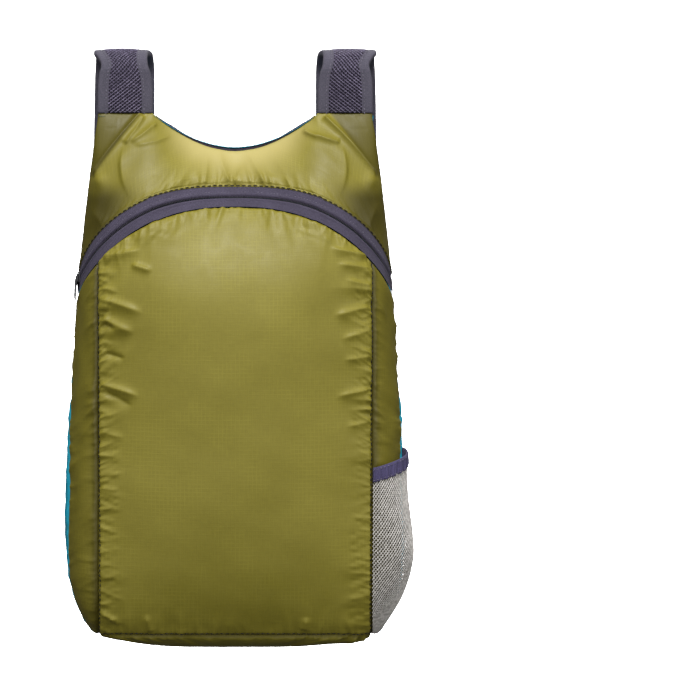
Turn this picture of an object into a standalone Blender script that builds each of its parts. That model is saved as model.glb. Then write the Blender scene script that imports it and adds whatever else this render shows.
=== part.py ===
"""A packable daypack of thin coated cloth, filled out and hanging from its two shoulder straps.

The body is a soft shell whose level sections are superellipses. Panels of cloth cover it: a front
panel under an arched zip, a yoke above the zip, two side panels, a bottom and a back panel. They
meet at seams. The straps rise from the yoke, turn over at their crowns and come down behind.

Axes: +X to the right and -Y towards the front of the bag, +Z up. Metres. The origin is the point
midway between the two strap crowns, on the line of the bar or hooks that the bag hangs from.
"""

import math
from typing import NamedTuple

import bmesh
import bpy
from mathutils import Matrix, Vector, geometry

# Body
BODY_HEIGHT = 0.424
BODY_WIDTH = 0.270
FRONT_DEPTH = 0.086
BACK_DEPTH = 0.030
SEAM_LEAN = 0.026
SIDE_SHOWING = 0.027
BOTTOM_SAG = 0.011
BOTTOM_ROUNDNESS = 3.5
BOTTOM_RING_SPACING = 1.6
CLOSING_HEIGHT = 0.150
NECK_WIDTH = 0.131
NECK_DROP = 0.030
BACK_NECK_DROP = 0.026
NECK_CURVE = 1.9
SEAM_TURN = math.radians(8)
SEAM_FORWARD_TURN = math.radians(9)
SEAM_FORWARD_HEIGHT = 0.118
SEAM_FORWARD_REACH = 0.055
SEAM_EASE = 0.100
LEAST_TURN = math.radians(0.3)

# Cloth and gaps
CLOTH = 0.0015
SEAM_GAP = 0.0006
SEAT_GAP = 0.0003

# Gathers and folds
GATHER_PITCH = 0.0190
GATHER_RISE = 0.0022
GATHER_REACH = 0.018
GATHER_FULL_HEIGHT = 0.141
FOLD_RISE = 0.0060
FOLD_WIDTH = 0.012
FOLD_START_FADE = 0.12

# Zip
ZIP_END_HEIGHT = 0.286
ZIP_RISE = 0.071
ZIP_SHOULDER = 2.0
ZIP_ROUND = 0.68
TAPE_WIDTH = 0.0080
TAPE_THICKNESS = 0.0010
COIL_WIDTH = 0.0026
SLIDER_LENGTH = 0.011
SLIDER_WIDTH = 0.0085
SLIDER_THICKNESS = 0.0030
SLIDER_TURN = math.radians(9)
SLIDER_LIFT = 0.0007
PULL_LENGTH = 0.024
PULL_WIDTH = 0.0060
PULL_THICKNESS = 0.0012

# Neck piping
PIPING_DIAMETER = 0.0022

# Shoulder straps
STRAP_RISE = 0.052
STRAP_WIDTH = 0.0440
STRAP_THICKNESS = 0.0050
BINDING_WIDTH = 0.0095
BINDING_THICKNESS = 0.0056
BINDING_GAP = 0.0006
LOOP_DEPTH = 0.040
CROWN_HEIGHT = 0.017
STRAP_BOW = 0.062
STRAP_SPLAY = 0.006
STRAP_END_HEIGHT = 0.165
BUCKLE_LENGTH = 0.024
BUCKLE_WIDTH = 0.032
BUCKLE_THICKNESS = 0.0040
BUCKLE_BAR = 0.0040
BUCKLE_GAP = 0.0006
WEBBING_WIDTH = 0.020
WEBBING_THICKNESS = 0.0016
ANCHOR_HEIGHT = 0.060
ANCHOR_TURN = math.radians(-42)

# Side pocket
POCKET_FRONT_HEIGHT = 0.140
POCKET_BACK_HEIGHT = 0.156
POCKET_STAND_OFF = 0.0150
POCKET_MOUTH_SHARE = 0.60
POCKET_FULLNESS = 0.7
POCKET_NET = 0.0010
POCKET_BINDING_HEIGHT = 0.0115
POCKET_BINDING_THICKNESS = 0.0020

# Heights are measured up from the lowest point of the bottom, and the bar is at HANG_HEIGHT.
HANG_HEIGHT = BODY_HEIGHT + STRAP_RISE - STRAP_THICKNESS
HALF_BODY = BODY_WIDTH / 2
HALF_PANEL = HALF_BODY - SIDE_SHOWING
HALF_NECK = NECK_WIDTH / 2
HALF_LOOP = LOOP_DEPTH / 2
ZIP_HALF_WIDTH = TAPE_WIDTH + COIL_WIDTH / 2
EDGE_OFFSET = CLOTH + SEAT_GAP
HALF_TURN = math.pi
QUARTER = math.pi / 2

# Columns and rows of the sheets' grids. The yoke and the back panel each have HALF_PANEL_COLUMNS on
# a side, and NECK_COLUMNS of them at the neck. EVEN_POWER evens out the columns round a section.
HALF_PANEL_COLUMNS = 16
NECK_COLUMNS = 9
EVEN_POWER = 1.5
FRONT_GRID = (20, 28)
SIDE_GRID = (6, 20)
BOTTOM_GRID = (36, 6)
POCKET_GRID = (10, 10)
YOKE_ROWS = 10
BACK_ROWS = 16
ZIP_COLUMNS = 40
STRAP_COLUMNS = 2
ARC_STEPS = 8
CURVE_STEPS = 14
PIPING_STEPS = 24


class Section(NamedTuple):
    """One level of the body, in shares of the body's height, half width and depths."""

    height: float
    width: float
    front: float
    back: float
    squareness: float


SECTIONS = (
    Section(0.000, 0.740, 0.70, 0.60, 6.0),
    Section(0.026, 0.825, 0.76, 0.68, 6.0),
    Section(0.058, 0.895, 0.83, 0.78, 5.4),
    Section(0.104, 0.957, 0.90, 0.87, 4.6),
    Section(0.164, 0.987, 0.96, 0.95, 3.9),
    Section(0.250, 1.000, 1.00, 1.00, 3.4),
    Section(0.410, 0.981, 1.00, 1.00, 3.1),
    Section(0.530, 0.953, 0.99, 0.99, 3.0),
    Section(0.662, 0.930, 0.96, 0.95, 2.8),
    Section(0.783, 0.895, 0.91, 0.87, 2.6),
    Section(0.934, 0.836, 0.84, 0.70, 2.5),
    Section(1.000, 0.812, 0.80, 0.60, 2.5),
)


class Fold(NamedTuple):
    """A ridge on the yoke, from its start to its end, in shares of the half width and the height.

    Rise and width are shares of FOLD_RISE and FOLD_WIDTH.
    """

    start_side: float
    start_height: float
    end_side: float
    end_height: float
    rise: float
    width: float


YOKE_FOLDS = (
    Fold(0.54, 0.985, 0.84, 0.870, 1.00, 1.0),
    Fold(0.52, 0.980, 0.62, 0.880, 0.70, 1.1),
    Fold(0.50, 0.975, 0.40, 0.945, 0.35, 0.9),
)


class StrapSection(NamedTuple):
    """One place on a shoulder strap: its share of the strap's length, and its width and splay.

    Width is a share of STRAP_WIDTH. Splay is how far the middle lies outward, in STRAP_SPLAYs.
    """

    along: float
    width: float
    splay: float


STRAP_SECTIONS = (
    StrapSection(0.00, 1.00, 0.00),
    StrapSection(0.06, 0.98, 0.00),
    StrapSection(0.13, 0.85, 0.10),
    StrapSection(0.22, 0.98, 0.60),
    StrapSection(0.32, 1.05, 0.20),
    StrapSection(0.55, 1.10, 0.40),
    StrapSection(0.85, 0.90, 1.60),
    StrapSection(1.00, 0.76, 2.00),
)


def blend(start, end, share):
    return start + (end - start) * share


def ease(share):
    share = min(max(share, 0.0), 1.0)
    return share * share * (3 - 2 * share)


def smooth_row(rows, share):
    """The row at a share, read from a smooth curve through a table whose first column is a share."""
    share = min(max(share, rows[0][0]), rows[-1][0])
    upper = next(i for i, row in enumerate(rows) if i and row[0] >= share)
    below, above = rows[upper - 1], rows[upper]
    before = rows[max(upper - 2, 0)]
    after = rows[min(upper + 1, len(rows) - 1)]
    span = above[0] - below[0]
    t = (share - below[0]) / span
    values = [share]
    for a, b, c, d in zip(before[1:], below[1:], above[1:], after[1:]):
        leave = (c - a) / (above[0] - before[0]) * span
        arrive = (d - b) / (after[0] - below[0]) * span
        bend = 3 * (c - b) - 2 * leave - arrive
        twist = leave + arrive - 2 * (c - b)
        values.append(b + t * leave + t * t * bend + t * t * t * twist)
    return type(below)(*values)


def section_at(height):
    return smooth_row(SECTIONS, height / BODY_HEIGHT)


def top_height(side, drop=NECK_DROP):
    """Height of the body's top edge, which dips in a curve at the neck."""
    share = min(abs(side) / HALF_NECK, 1.0)
    return BODY_HEIGHT - drop * (1 - share**NECK_CURVE)


def seam_turn(height):
    """Angle of the right side's back seam.

    It comes forward on the fullest part of the body, and is at the side's edge where the body
    closes towards its top.
    """
    reach = (height - SEAM_FORWARD_HEIGHT) / SEAM_FORWARD_REACH
    forward = SEAM_TURN + SEAM_FORWARD_TURN * math.exp(-reach * reach)
    return forward * ease((BODY_HEIGHT - CLOSING_HEIGHT - height) / SEAM_EASE)


def seam_y(height):
    """Where the plane of the side seams lies, leaning back towards the bottom."""
    return -HALF_LOOP + SEAM_LEAN * (1 - height / BODY_HEIGHT)


def side_of(angle, height):
    """How far to the right the body's surface is at an angle round a level section."""
    section = section_at(height)
    turn = math.cos(angle)
    return math.copysign(abs(turn) ** (2 / section.squareness), turn) * section.width * HALF_BODY


def angle_of(side, height):
    """The angle round the front of a level section at which the surface is that far to the right."""
    section = section_at(height)
    share = min(abs(side) / (section.width * HALF_BODY), 1.0)
    return math.acos(math.copysign(share ** (section.squareness / 2), side))


def smooth_point(angle, height):
    """A point of the body's outer surface, without folds.

    Angle 0 is the right side, a quarter turn the middle of the front, and minus a quarter turn
    the middle of the back. The two surfaces close on each other towards the top edge.
    """
    section = section_at(height)
    side = side_of(angle, height)
    facing = math.copysign(1, math.sin(angle))
    full = FRONT_DEPTH * section.front if facing > 0 else BACK_DEPTH * section.back
    drop = NECK_DROP if facing > 0 else BACK_NECK_DROP
    below_top = (top_height(side, drop) - height) / CLOSING_HEIGHT
    closing = 1 - (1 - min(max(below_top, 0.0), 1.0)) ** 2
    depth = full * abs(math.sin(angle)) ** (2 / section.squareness)
    y = seam_y(height) - facing * (depth * closing + EDGE_OFFSET * (1 - closing))
    return Vector((side, y, height - HANG_HEIGHT))


def surface_slopes(angle, height, step=1e-4):
    """How the smooth surface moves with angle and with height."""
    lower, upper = max(height - step, 0.0), min(height + step, BODY_HEIGHT)
    by_angle = (smooth_point(angle + step, height) - smooth_point(angle - step, height)) / (2 * step)
    by_height = (smooth_point(angle, upper) - smooth_point(angle, lower)) / (upper - lower)
    return by_angle, by_height


def outward(angle, height):
    """The direction out of the smooth surface."""
    by_angle, by_height = surface_slopes(angle, height)
    return by_height.cross(by_angle).normalized()


def yoke_relief(side, height):
    """How far the yoke's folds stand out at a place seen from the front."""
    place = Vector((abs(side), height))
    relief = 0.0
    for fold in YOKE_FOLDS:
        start = Vector((fold.start_side * HALF_BODY, fold.start_height * BODY_HEIGHT))
        end = Vector((fold.end_side * HALF_BODY, fold.end_height * BODY_HEIGHT))
        run = end - start
        along = min(max((place - start).dot(run) / run.length_squared, 0.0), 1.0)
        away = (place - start - run * along).length / (FOLD_WIDTH * fold.width)
        fade = math.sin(HALF_TURN * blend(FOLD_START_FADE, 1.0, along))
        relief += FOLD_RISE * fold.rise * fade * math.exp(-away * away)
    edge = ease((top_height(side) - height) / FOLD_WIDTH)
    return relief * edge


def gather_relief(side, height):
    """How far the gathers beside the front panel's seams stand out."""
    from_seam = max(HALF_PANEL - abs(side), 0.0)
    wave = math.cos(2 * math.pi * (height - BOTTOM_SAG) / GATHER_PITCH)
    strength = from_seam / GATHER_REACH * math.exp(1 - from_seam / GATHER_REACH)
    return GATHER_RISE * strength * wave * ease(height / GATHER_FULL_HEIGHT)


def zip_height(angle):
    """Height of the zip's middle line, an arch over the front that ends at the side seams."""
    return ZIP_END_HEIGHT + ZIP_RISE * (1 - abs(math.cos(angle)) ** ZIP_SHOULDER) ** ZIP_ROUND


def zip_place(angle, offset):
    """Angle and height of the surface at a distance above or below the zip's middle line."""
    step = 1e-3
    height = zip_height(angle)
    ahead = smooth_point(angle + step, zip_height(angle + step))
    behind = smooth_point(angle - step, zip_height(angle - step))
    by_angle, by_height = surface_slopes(angle, height)
    normal = by_height.cross(by_angle).normalized()
    across = (ahead - behind).cross(normal).normalized() * offset
    aa, hh, ah = by_angle.dot(by_angle), by_height.dot(by_height), by_angle.dot(by_height)
    da, dh = by_angle.dot(across), by_height.dot(across)
    scale = aa * hh - ah * ah
    return angle + (da * hh - dh * ah) / scale, height + (dh * aa - da * ah) / scale


def zip_angle_where(reaches, offset):
    """The angle of the zip's middle line at which a line beside it reaches a place on the right."""
    low, high = LEAST_TURN, QUARTER
    for _ in range(40):
        middle = (low + high) / 2
        if reaches(*zip_place(middle, offset)):
            high = middle
        else:
            low = middle
    return (low + high) / 2


def panel_seam_angle(height):
    """Angle of the right seam of the front panel."""
    return angle_of(HALF_PANEL, height)


LOWER_EDGE = -ZIP_HALF_WIDTH - SEAM_GAP
UPPER_EDGE = ZIP_HALF_WIDTH + SEAM_GAP
PANEL_CORNER = zip_angle_where(lambda a, h: side_of(a, h) <= HALF_PANEL, LOWER_EDGE)
LOWER_END = zip_angle_where(lambda a, h: a >= seam_turn(h), LOWER_EDGE)
UPPER_END = zip_angle_where(lambda a, h: a >= seam_turn(h), UPPER_EDGE)


def even_share(share):
    """The share of a quarter turn that lies at a share of the way round a quarter section."""
    near, far = share**EVEN_POWER, (1 - share) ** EVEN_POWER
    return near / (near + far)


def even_turn(share):
    """The same for a share from -1 to 1 over two quarters."""
    return math.copysign(even_share(abs(share)), share)


def gap_angle(angle, height, gap):
    """The turn round a section that moves the surface by a gap."""
    return gap / surface_slopes(angle, height)[0].length


def cloth_object(name, columns, rows, place, thickness, material, inside=True):
    """A sheet of cloth: a grid whose points are placed by their shares across and up, made thick."""
    bm = bmesh.new()
    bmesh.ops.create_grid(bm, x_segments=columns, y_segments=rows, size=0.5)
    for vert in bm.verts:
        vert.co = place(vert.co.x + 0.5, vert.co.y + 0.5)
    mesh = bpy.data.meshes.new(name)
    bm.to_mesh(mesh)
    bm.free()
    mesh.shade_smooth()
    obj = add_object(name, mesh, material)
    solidify = obj.modifiers.new("thickness", "SOLIDIFY")
    solidify.thickness = thickness
    solidify.offset = -1 if inside else 1
    return obj


def add_object(name, data, material):
    obj = bpy.data.objects.new(name, data)
    data.materials.append(material)
    parts.objects.link(obj)
    return obj


def make_material(name, colour, roughness, metallic=0.0):
    material = bpy.data.materials.new(name)
    material.use_nodes = True
    shader = material.node_tree.nodes["Principled BSDF"]
    shader.inputs["Base Color"].default_value = (*colour, 1)
    shader.inputs["Roughness"].default_value = roughness
    shader.inputs["Metallic"].default_value = metallic
    return material


def place_on_front(u, v):
    """Front panel: between its two seams, from the bottom seam up to the lower edge of the zip."""
    top_angle, top = zip_place(blend(HALF_TURN - PANEL_CORNER, PANEL_CORNER, u), LOWER_EDGE)
    height = blend(BOTTOM_SAG + SEAM_GAP, top, v)
    across = blend(2 * u - 1, side_of(top_angle, top) / HALF_PANEL, v)
    side = across * (HALF_PANEL - SEAM_GAP / 2)
    angle = angle_of(side, height)
    relief = gather_relief(side, height) * ease((top - height) / GATHER_PITCH)
    return smooth_point(angle, height) + outward(angle, height) * relief


def place_on_side(front_to_back, v):
    """Right side panel: from the front seam to the back seam, up to the lower edge of the zip."""
    zip_angle = blend(PANEL_CORNER, LOWER_END, front_to_back)
    top_angle, top = zip_place(zip_angle, LOWER_EDGE)
    height = blend(BOTTOM_SAG + SEAM_GAP, top, v)
    front, back = panel_seam_angle(height), seam_turn(height)
    top_front = panel_seam_angle(top)
    top_share = (top_angle - top_front) / (seam_turn(top) - top_front)
    share = blend(front_to_back, top_share, v)
    front -= gap_angle(front, height, SEAM_GAP / 2)
    back += gap_angle(back, height, SEAM_GAP / 2)
    return smooth_point(blend(front, back, share), height)


def side_panel(right):
    """A side panel. The left one is the right one's mirror image."""
    if right:
        return lambda u, v: place_on_side(u, v)
    mirror = Matrix.Scale(-1, 3, (1, 0, 0))
    return lambda u, v: mirror @ place_on_side(1 - u, v)


def top_side(share):
    """Side position on the top edge for a share from -1 to 1, with a column at each neck corner."""
    neck_share = NECK_COLUMNS / HALF_PANEL_COLUMNS
    reach = side_of(seam_turn(BODY_HEIGHT), BODY_HEIGHT)
    if abs(share) <= neck_share:
        return HALF_NECK * share / neck_share
    beyond = (abs(share) - neck_share) / (1 - neck_share)
    return math.copysign(blend(HALF_NECK, reach, beyond), share)


def place_on_yoke(u, v):
    """Yoke: from the upper edge of the zip to the neck and the strap bases."""
    way = 2 * u - 1
    zip_angle, low = zip_place(QUARTER - even_turn(way) * (QUARTER - UPPER_END), UPPER_EDGE)
    end_side = top_side(way)
    top = top_height(end_side)
    height = blend(low, top, v)
    low_share = (zip_angle - QUARTER) / (QUARTER - seam_turn(low))
    top_share = (angle_of(end_side, top) - QUARTER) / (QUARTER - seam_turn(top))
    share = min(max(blend(low_share, top_share, v), -1.0), 1.0)
    turn = seam_turn(height)
    angle = QUARTER + share * (QUARTER - turn - gap_angle(turn, height, SEAM_GAP / 2))
    side = side_of(angle, height)
    # The folds rise over the lowest third of the yoke and over an eighth of its half width.
    relief = yoke_relief(side, height) * ease(v * 3) * ease((1 - abs(share)) * 8)
    return smooth_point(angle, height) + outward(angle, height) * relief


def place_on_back(u, v):
    """Back panel: the whole back, from the left side seam to the right one behind the bag."""
    share = even_turn(1 - 2 * u)
    end_side = top_side(1 - 2 * u)
    top = top_height(end_side, BACK_NECK_DROP)
    height = blend(BOTTOM_SAG + SEAM_GAP, top, v)
    turn = seam_turn(height)
    wrap = QUARTER + turn - gap_angle(turn, height, SEAM_GAP / 2)
    section_top = (QUARTER - angle_of(abs(end_side), top)) / QUARTER
    top_share = math.copysign(section_top, share) if abs(share) < 1 else share
    angle = -QUARTER + blend(share, top_share, ease(v)) * wrap
    return smooth_point(angle, height)


def place_on_bottom(u, v):
    """Bottom: rings that shrink from the bottom seam to the middle and sag as they shrink."""
    quarter, way = divmod(u * 4, 1)
    angle = (quarter + even_share(way)) * QUARTER - HALF_TURN
    shrink = 1 - v**BOTTOM_RING_SPACING
    rim = smooth_point(angle, BOTTOM_SAG)
    middle = Vector((0, seam_y(BOTTOM_SAG) - (FRONT_DEPTH - BACK_DEPTH) / 3, rim.z))
    rim -= (rim - middle).normalized() * (CLOTH + SEAM_GAP * 2)
    point = middle.lerp(rim, shrink)
    point.z = blend(-HANG_HEIGHT, rim.z, shrink**BOTTOM_ROUNDNESS)
    return point


def make_bottom(material):
    obj = cloth_object("bottom_panel", *BOTTOM_GRID, place_on_bottom, CLOTH, material)
    bm = bmesh.new()
    bm.from_mesh(obj.data)
    bmesh.ops.remove_doubles(bm, verts=bm.verts, dist=1e-5)
    bmesh.ops.recalc_face_normals(bm, faces=bm.faces)
    lowest = min(bm.faces, key=lambda face: face.calc_center_median().z)
    if lowest.normal.z > 0:
        bmesh.ops.reverse_faces(bm, faces=bm.faces)
    bm.to_mesh(obj.data)
    bm.free()


def zip_strip(low, high):
    """A strip beside the zip's middle line, between two distances from it and the back seams."""

    def meets_seam(angle, height):
        return angle >= seam_turn(height) + gap_angle(angle, height, SEAM_GAP)

    ends = [zip_angle_where(meets_seam, offset) for offset in (low, high)]

    def place(u, v):
        end = blend(*ends, v)
        angle = QUARTER - even_turn(2 * u - 1) * (QUARTER - end)
        place_angle, height = zip_place(angle, blend(low, high, v))
        return smooth_point(place_angle, height)

    return place


def make_zip(tape_material, coil_material, slider_material):
    half_coil = COIL_WIDTH / 2
    upper = zip_strip(half_coil + SEAT_GAP, ZIP_HALF_WIDTH)
    lower = zip_strip(-ZIP_HALF_WIDTH, -half_coil - SEAT_GAP)
    cloth_object("zip_tape_upper", ZIP_COLUMNS, 1, upper, TAPE_THICKNESS, tape_material)
    cloth_object("zip_tape_lower", ZIP_COLUMNS, 1, lower, TAPE_THICKNESS, tape_material)
    coil = zip_strip(-half_coil, half_coil)
    cloth_object("zip_coil", ZIP_COLUMNS, 1, coil, COIL_WIDTH, coil_material)
    make_slider(slider_material)


def zip_frame(angle):
    """A matrix on the zip's middle line: X along the zip, Y across it and Z out of the bag."""
    step = 1e-3
    ahead = smooth_point(angle + step, zip_height(angle + step))
    behind = smooth_point(angle - step, zip_height(angle - step))
    along = (ahead - behind).normalized()
    out = outward(angle, zip_height(angle))
    across = out.cross(along).normalized()
    frame = Matrix((along, across, out)).transposed().to_4x4()
    frame.translation = smooth_point(angle, zip_height(angle))
    return frame


def make_slider(material):
    """The slider near the left end of the zip, with its pull hanging down the side."""
    bm = bmesh.new()
    bmesh.ops.create_cube(bm, size=1)
    bmesh.ops.scale(bm, vec=(SLIDER_LENGTH, SLIDER_WIDTH, SLIDER_THICKNESS), verts=bm.verts)
    bmesh.ops.translate(bm, vec=(0, 0, SLIDER_THICKNESS / 2), verts=bm.verts)
    pull = bmesh.ops.create_cube(bm, size=1)["verts"]
    bmesh.ops.scale(bm, vec=(PULL_WIDTH, PULL_LENGTH, PULL_THICKNESS), verts=pull)
    lift = SLIDER_THICKNESS + PULL_THICKNESS / 2 - SEAT_GAP
    bmesh.ops.translate(bm, vec=(0, PULL_LENGTH / 2 - SLIDER_WIDTH / 4, lift), verts=pull)
    halves = bpy.data.meshes.new("zip_slider")
    bm.to_mesh(halves)
    bm.free()
    obj = add_object("zip_slider", halves, material)
    obj.matrix_world = zip_frame(HALF_TURN - SLIDER_TURN) @ Matrix.Translation((0, 0, SLIDER_LIFT))
    weld = obj.modifiers.new("one body", "REMESH")
    weld.mode = "SHARP"
    weld.octree_depth = 4


def curve_tube(name, points, diameter, material):
    """A round cord of cloth along the points."""
    curve = bpy.data.curves.new(name, "CURVE")
    curve.dimensions = "3D"
    curve.bevel_depth = diameter / 2
    curve.bevel_resolution = 2
    curve.use_fill_caps = True
    spline = curve.splines.new("POLY")
    spline.points.add(len(points) - 1)
    for point, place in zip(spline.points, points):
        point.co = (*place, 1)
    return add_object(name, curve, material)


def make_piping(material):
    """The piping on the neck's edge, between the two strap bases."""
    reach = HALF_NECK - PIPING_DIAMETER
    lift = PIPING_DIAMETER / 2 + SEAT_GAP
    points = []
    for i in range(PIPING_STEPS + 1):
        side = blend(-reach, reach, i / PIPING_STEPS)
        slope = (top_height(side + lift) - top_height(side - lift)) / (2 * lift)
        up = Vector((-slope, 0, 1)).normalized()
        middle = seam_y(top_height(side)) - EDGE_OFFSET + CLOTH / 2
        edge = Vector((side, middle, top_height(side) - HANG_HEIGHT))
        points.append(edge + up * lift)
    curve_tube("neck_piping", points, PIPING_DIAMETER, material)


def strap_line():
    """The right strap's middle line: up from its base, over the crown and down behind the back."""
    base_side = (HALF_NECK + side_of(seam_turn(BODY_HEIGHT), BODY_HEIGHT)) / 2
    base = Vector((base_side, -HALF_LOOP, BODY_HEIGHT - HANG_HEIGHT + SEAT_GAP))
    crown_z = STRAP_THICKNESS / 2 - CROWN_HEIGHT
    line = [base, base.lerp(Vector((base_side, -HALF_LOOP, crown_z)), 0.5)]
    for i in range(ARC_STEPS + 1):
        turn = HALF_TURN * i / ARC_STEPS
        arc = Vector((base_side, -HALF_LOOP * math.cos(turn), crown_z + CROWN_HEIGHT * math.sin(turn)))
        line.append(arc)
    end = Vector((base_side, STRAP_BOW, STRAP_END_HEIGHT - HANG_HEIGHT))
    drop = (crown_z - end.z) / 3
    leave = line[-1] + Vector((0, STRAP_BOW / 5, -drop))
    arrive = end + Vector((0, 0, drop))
    line += geometry.interpolate_bezier(line[-1], leave, arrive, end, CURVE_STEPS)[1:]
    steps = len(line) - 1
    for index, point in enumerate(line):
        point.x += STRAP_SPLAY * smooth_row(STRAP_SECTIONS, index / steps).splay
    return line


def webbing_line(strap_end):
    """The right webbing's middle line, from the buckle to the lower part of the side seam."""
    touch = smooth_point(ANCHOR_TURN, ANCHOR_HEIGHT)
    out = outward(ANCHOR_TURN, ANCHOR_HEIGHT)
    end = touch + out * (WEBBING_THICKNESS / 2 + SEAT_GAP * 2)
    start = strap_end - Vector((0, 0, BUCKLE_LENGTH + BUCKLE_GAP * 2))
    drop = (start.z - end.z) / 3
    leave = start + Vector((0, 0, -drop))
    arrive = end + Vector((-drop / 6, drop / 3, drop * 1.1))
    return list(geometry.interpolate_bezier(start, leave, arrive, end, CURVE_STEPS)), out


def ribbon(line, widths, faces_at_ends=None):
    """A placing function for a ribbon along a line, between two shares of its widths."""
    steps = len(line) - 1

    def place(u, v):
        index = round(v * steps)
        before, after = line[max(index - 1, 0)], line[min(index + 1, steps)]
        along = (after - before).normalized()
        if faces_at_ends:
            facing = faces_at_ends[0].lerp(faces_at_ends[1], ease(v)).normalized()
            across = facing.cross(along).normalized()
        else:
            across = Vector((1, 0, 0))
        low, high = widths(v)
        return line[index] + across * blend(low, high, u)

    return place


def mirrored(place):
    """The same sheet on the left, with its faces still pointing the same way."""
    mirror = Matrix.Scale(-1, 3, (1, 0, 0))
    return lambda u, v: mirror @ place(1 - u, v)


def half_strap(share):
    """Half the strap's width at a share of its length."""
    return STRAP_WIDTH * smooth_row(STRAP_SECTIONS, share).width / 2


def centred_sheet(name, columns, rows, place, thickness, material):
    obj = cloth_object(name, columns, rows, place, thickness, material)
    obj.modifiers["thickness"].offset = 0
    return obj


def make_buckle(name, end, material):
    """A plain ladder buckle: a flat frame with a slot for the strap's tab and one for the webbing."""
    frame = box_mesh(name, (BUCKLE_WIDTH, BUCKLE_THICKNESS, BUCKLE_LENGTH))
    obj = add_object(name, frame, material)
    obj.location = end - Vector((0, 0, BUCKLE_LENGTH / 2 + BUCKLE_GAP))
    slot_height = (BUCKLE_LENGTH - 3 * BUCKLE_BAR) / 2
    for number, rise in enumerate((1, -1)):
        size = (BUCKLE_WIDTH - 2 * BUCKLE_BAR, BUCKLE_THICKNESS * 3, slot_height)
        slot = bpy.data.objects.new(f"{name}_slot_{number}", box_mesh("slot", size))
        slot.location = obj.location + Vector((0, 0, rise * (slot_height + BUCKLE_BAR) / 2))
        slot.hide_render = True
        slot.display_type = "WIRE"
        cutters.objects.link(slot)
        cut = obj.modifiers.new("slot", "BOOLEAN")
        cut.operation = "DIFFERENCE"
        cut.object = slot
    return obj


def box_mesh(name, size):
    bm = bmesh.new()
    bmesh.ops.create_cube(bm, size=1)
    bmesh.ops.scale(bm, vec=size, verts=bm.verts)
    mesh = bpy.data.meshes.new(name)
    bm.to_mesh(mesh)
    bm.free()
    return mesh


def make_strap(hand, pad_material, binding_material, buckle_material, webbing_material):
    """One shoulder strap: netting pad, a binding on each edge, buckle and webbing."""
    line = strap_line()
    rows = len(line) - 1
    web_line, web_out = webbing_line(line[-1])
    flip = mirrored if hand == "left" else lambda place: place

    def pad(share):
        half = half_strap(share) - BINDING_WIDTH - BINDING_GAP
        return -half, half

    def outer(share):
        return half_strap(share) - BINDING_WIDTH, half_strap(share)

    def inner(share):
        return -half_strap(share), BINDING_WIDTH - half_strap(share)

    name = f"strap_{hand}"
    centred_sheet(f"{name}_pad", STRAP_COLUMNS, rows, flip(ribbon(line, pad)), STRAP_THICKNESS, pad_material)
    for edge, widths in (("outer", outer), ("inner", inner)):
        place = flip(ribbon(line, widths))
        label = f"{name}_binding_{edge}"
        centred_sheet(label, 1, rows, place, BINDING_THICKNESS, binding_material)
    webbing = ribbon(
        web_line,
        lambda share: (-WEBBING_WIDTH / 2, WEBBING_WIDTH / 2),
        (Vector((0, 1, 0)), web_out),
    )
    label = f"{name}_webbing"
    centred_sheet(label, 1, len(web_line) - 1, flip(webbing), WEBBING_THICKNESS, webbing_material)
    end = line[-1].copy()
    if hand == "left":
        end.x = -end.x
    make_buckle(f"{name}_buckle", end, buckle_material)


def pocket_top(front_to_back):
    return blend(POCKET_FRONT_HEIGHT, POCKET_BACK_HEIGHT, front_to_back)


def pocket_place(low, high, lift):
    """A sheet standing off the right side panel, between two heights that vary from front to back."""

    def place(u, v):
        height = blend(low(u), high(u), v)
        front, back = panel_seam_angle(height), seam_turn(height)
        angle = blend(front, back, u)
        rise = ease((height - BOTTOM_SAG) / (POCKET_FRONT_HEIGHT / 2))
        gather = ease(height / POCKET_FRONT_HEIGHT * 2 - 1)
        bulge = math.sin(HALF_TURN * u) ** POCKET_FULLNESS * rise * blend(1, POCKET_MOUTH_SHARE, gather)
        stand_off = SEAT_GAP * 2 + POCKET_STAND_OFF * bulge + lift
        return smooth_point(angle, height) + outward(angle, height) * stand_off

    return place


def make_pocket(net_material, binding_material):
    """The net pocket on the right side, with a binding along its open top."""

    def bottom(u):
        return BOTTOM_SAG + SEAM_GAP + POCKET_NET

    def net_top(u):
        return pocket_top(u) - POCKET_BINDING_HEIGHT - SEAT_GAP

    def binding_low(u):
        return pocket_top(u) - POCKET_BINDING_HEIGHT

    net = pocket_place(bottom, net_top, 0)
    binding = pocket_place(binding_low, pocket_top, 0)
    cloth_object("pocket_net", *POCKET_GRID, net, POCKET_NET, net_material, inside=False)
    cloth_object(
        "pocket_binding", POCKET_GRID[0], 1, binding, POCKET_BINDING_THICKNESS, binding_material, inside=False
    )


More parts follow.
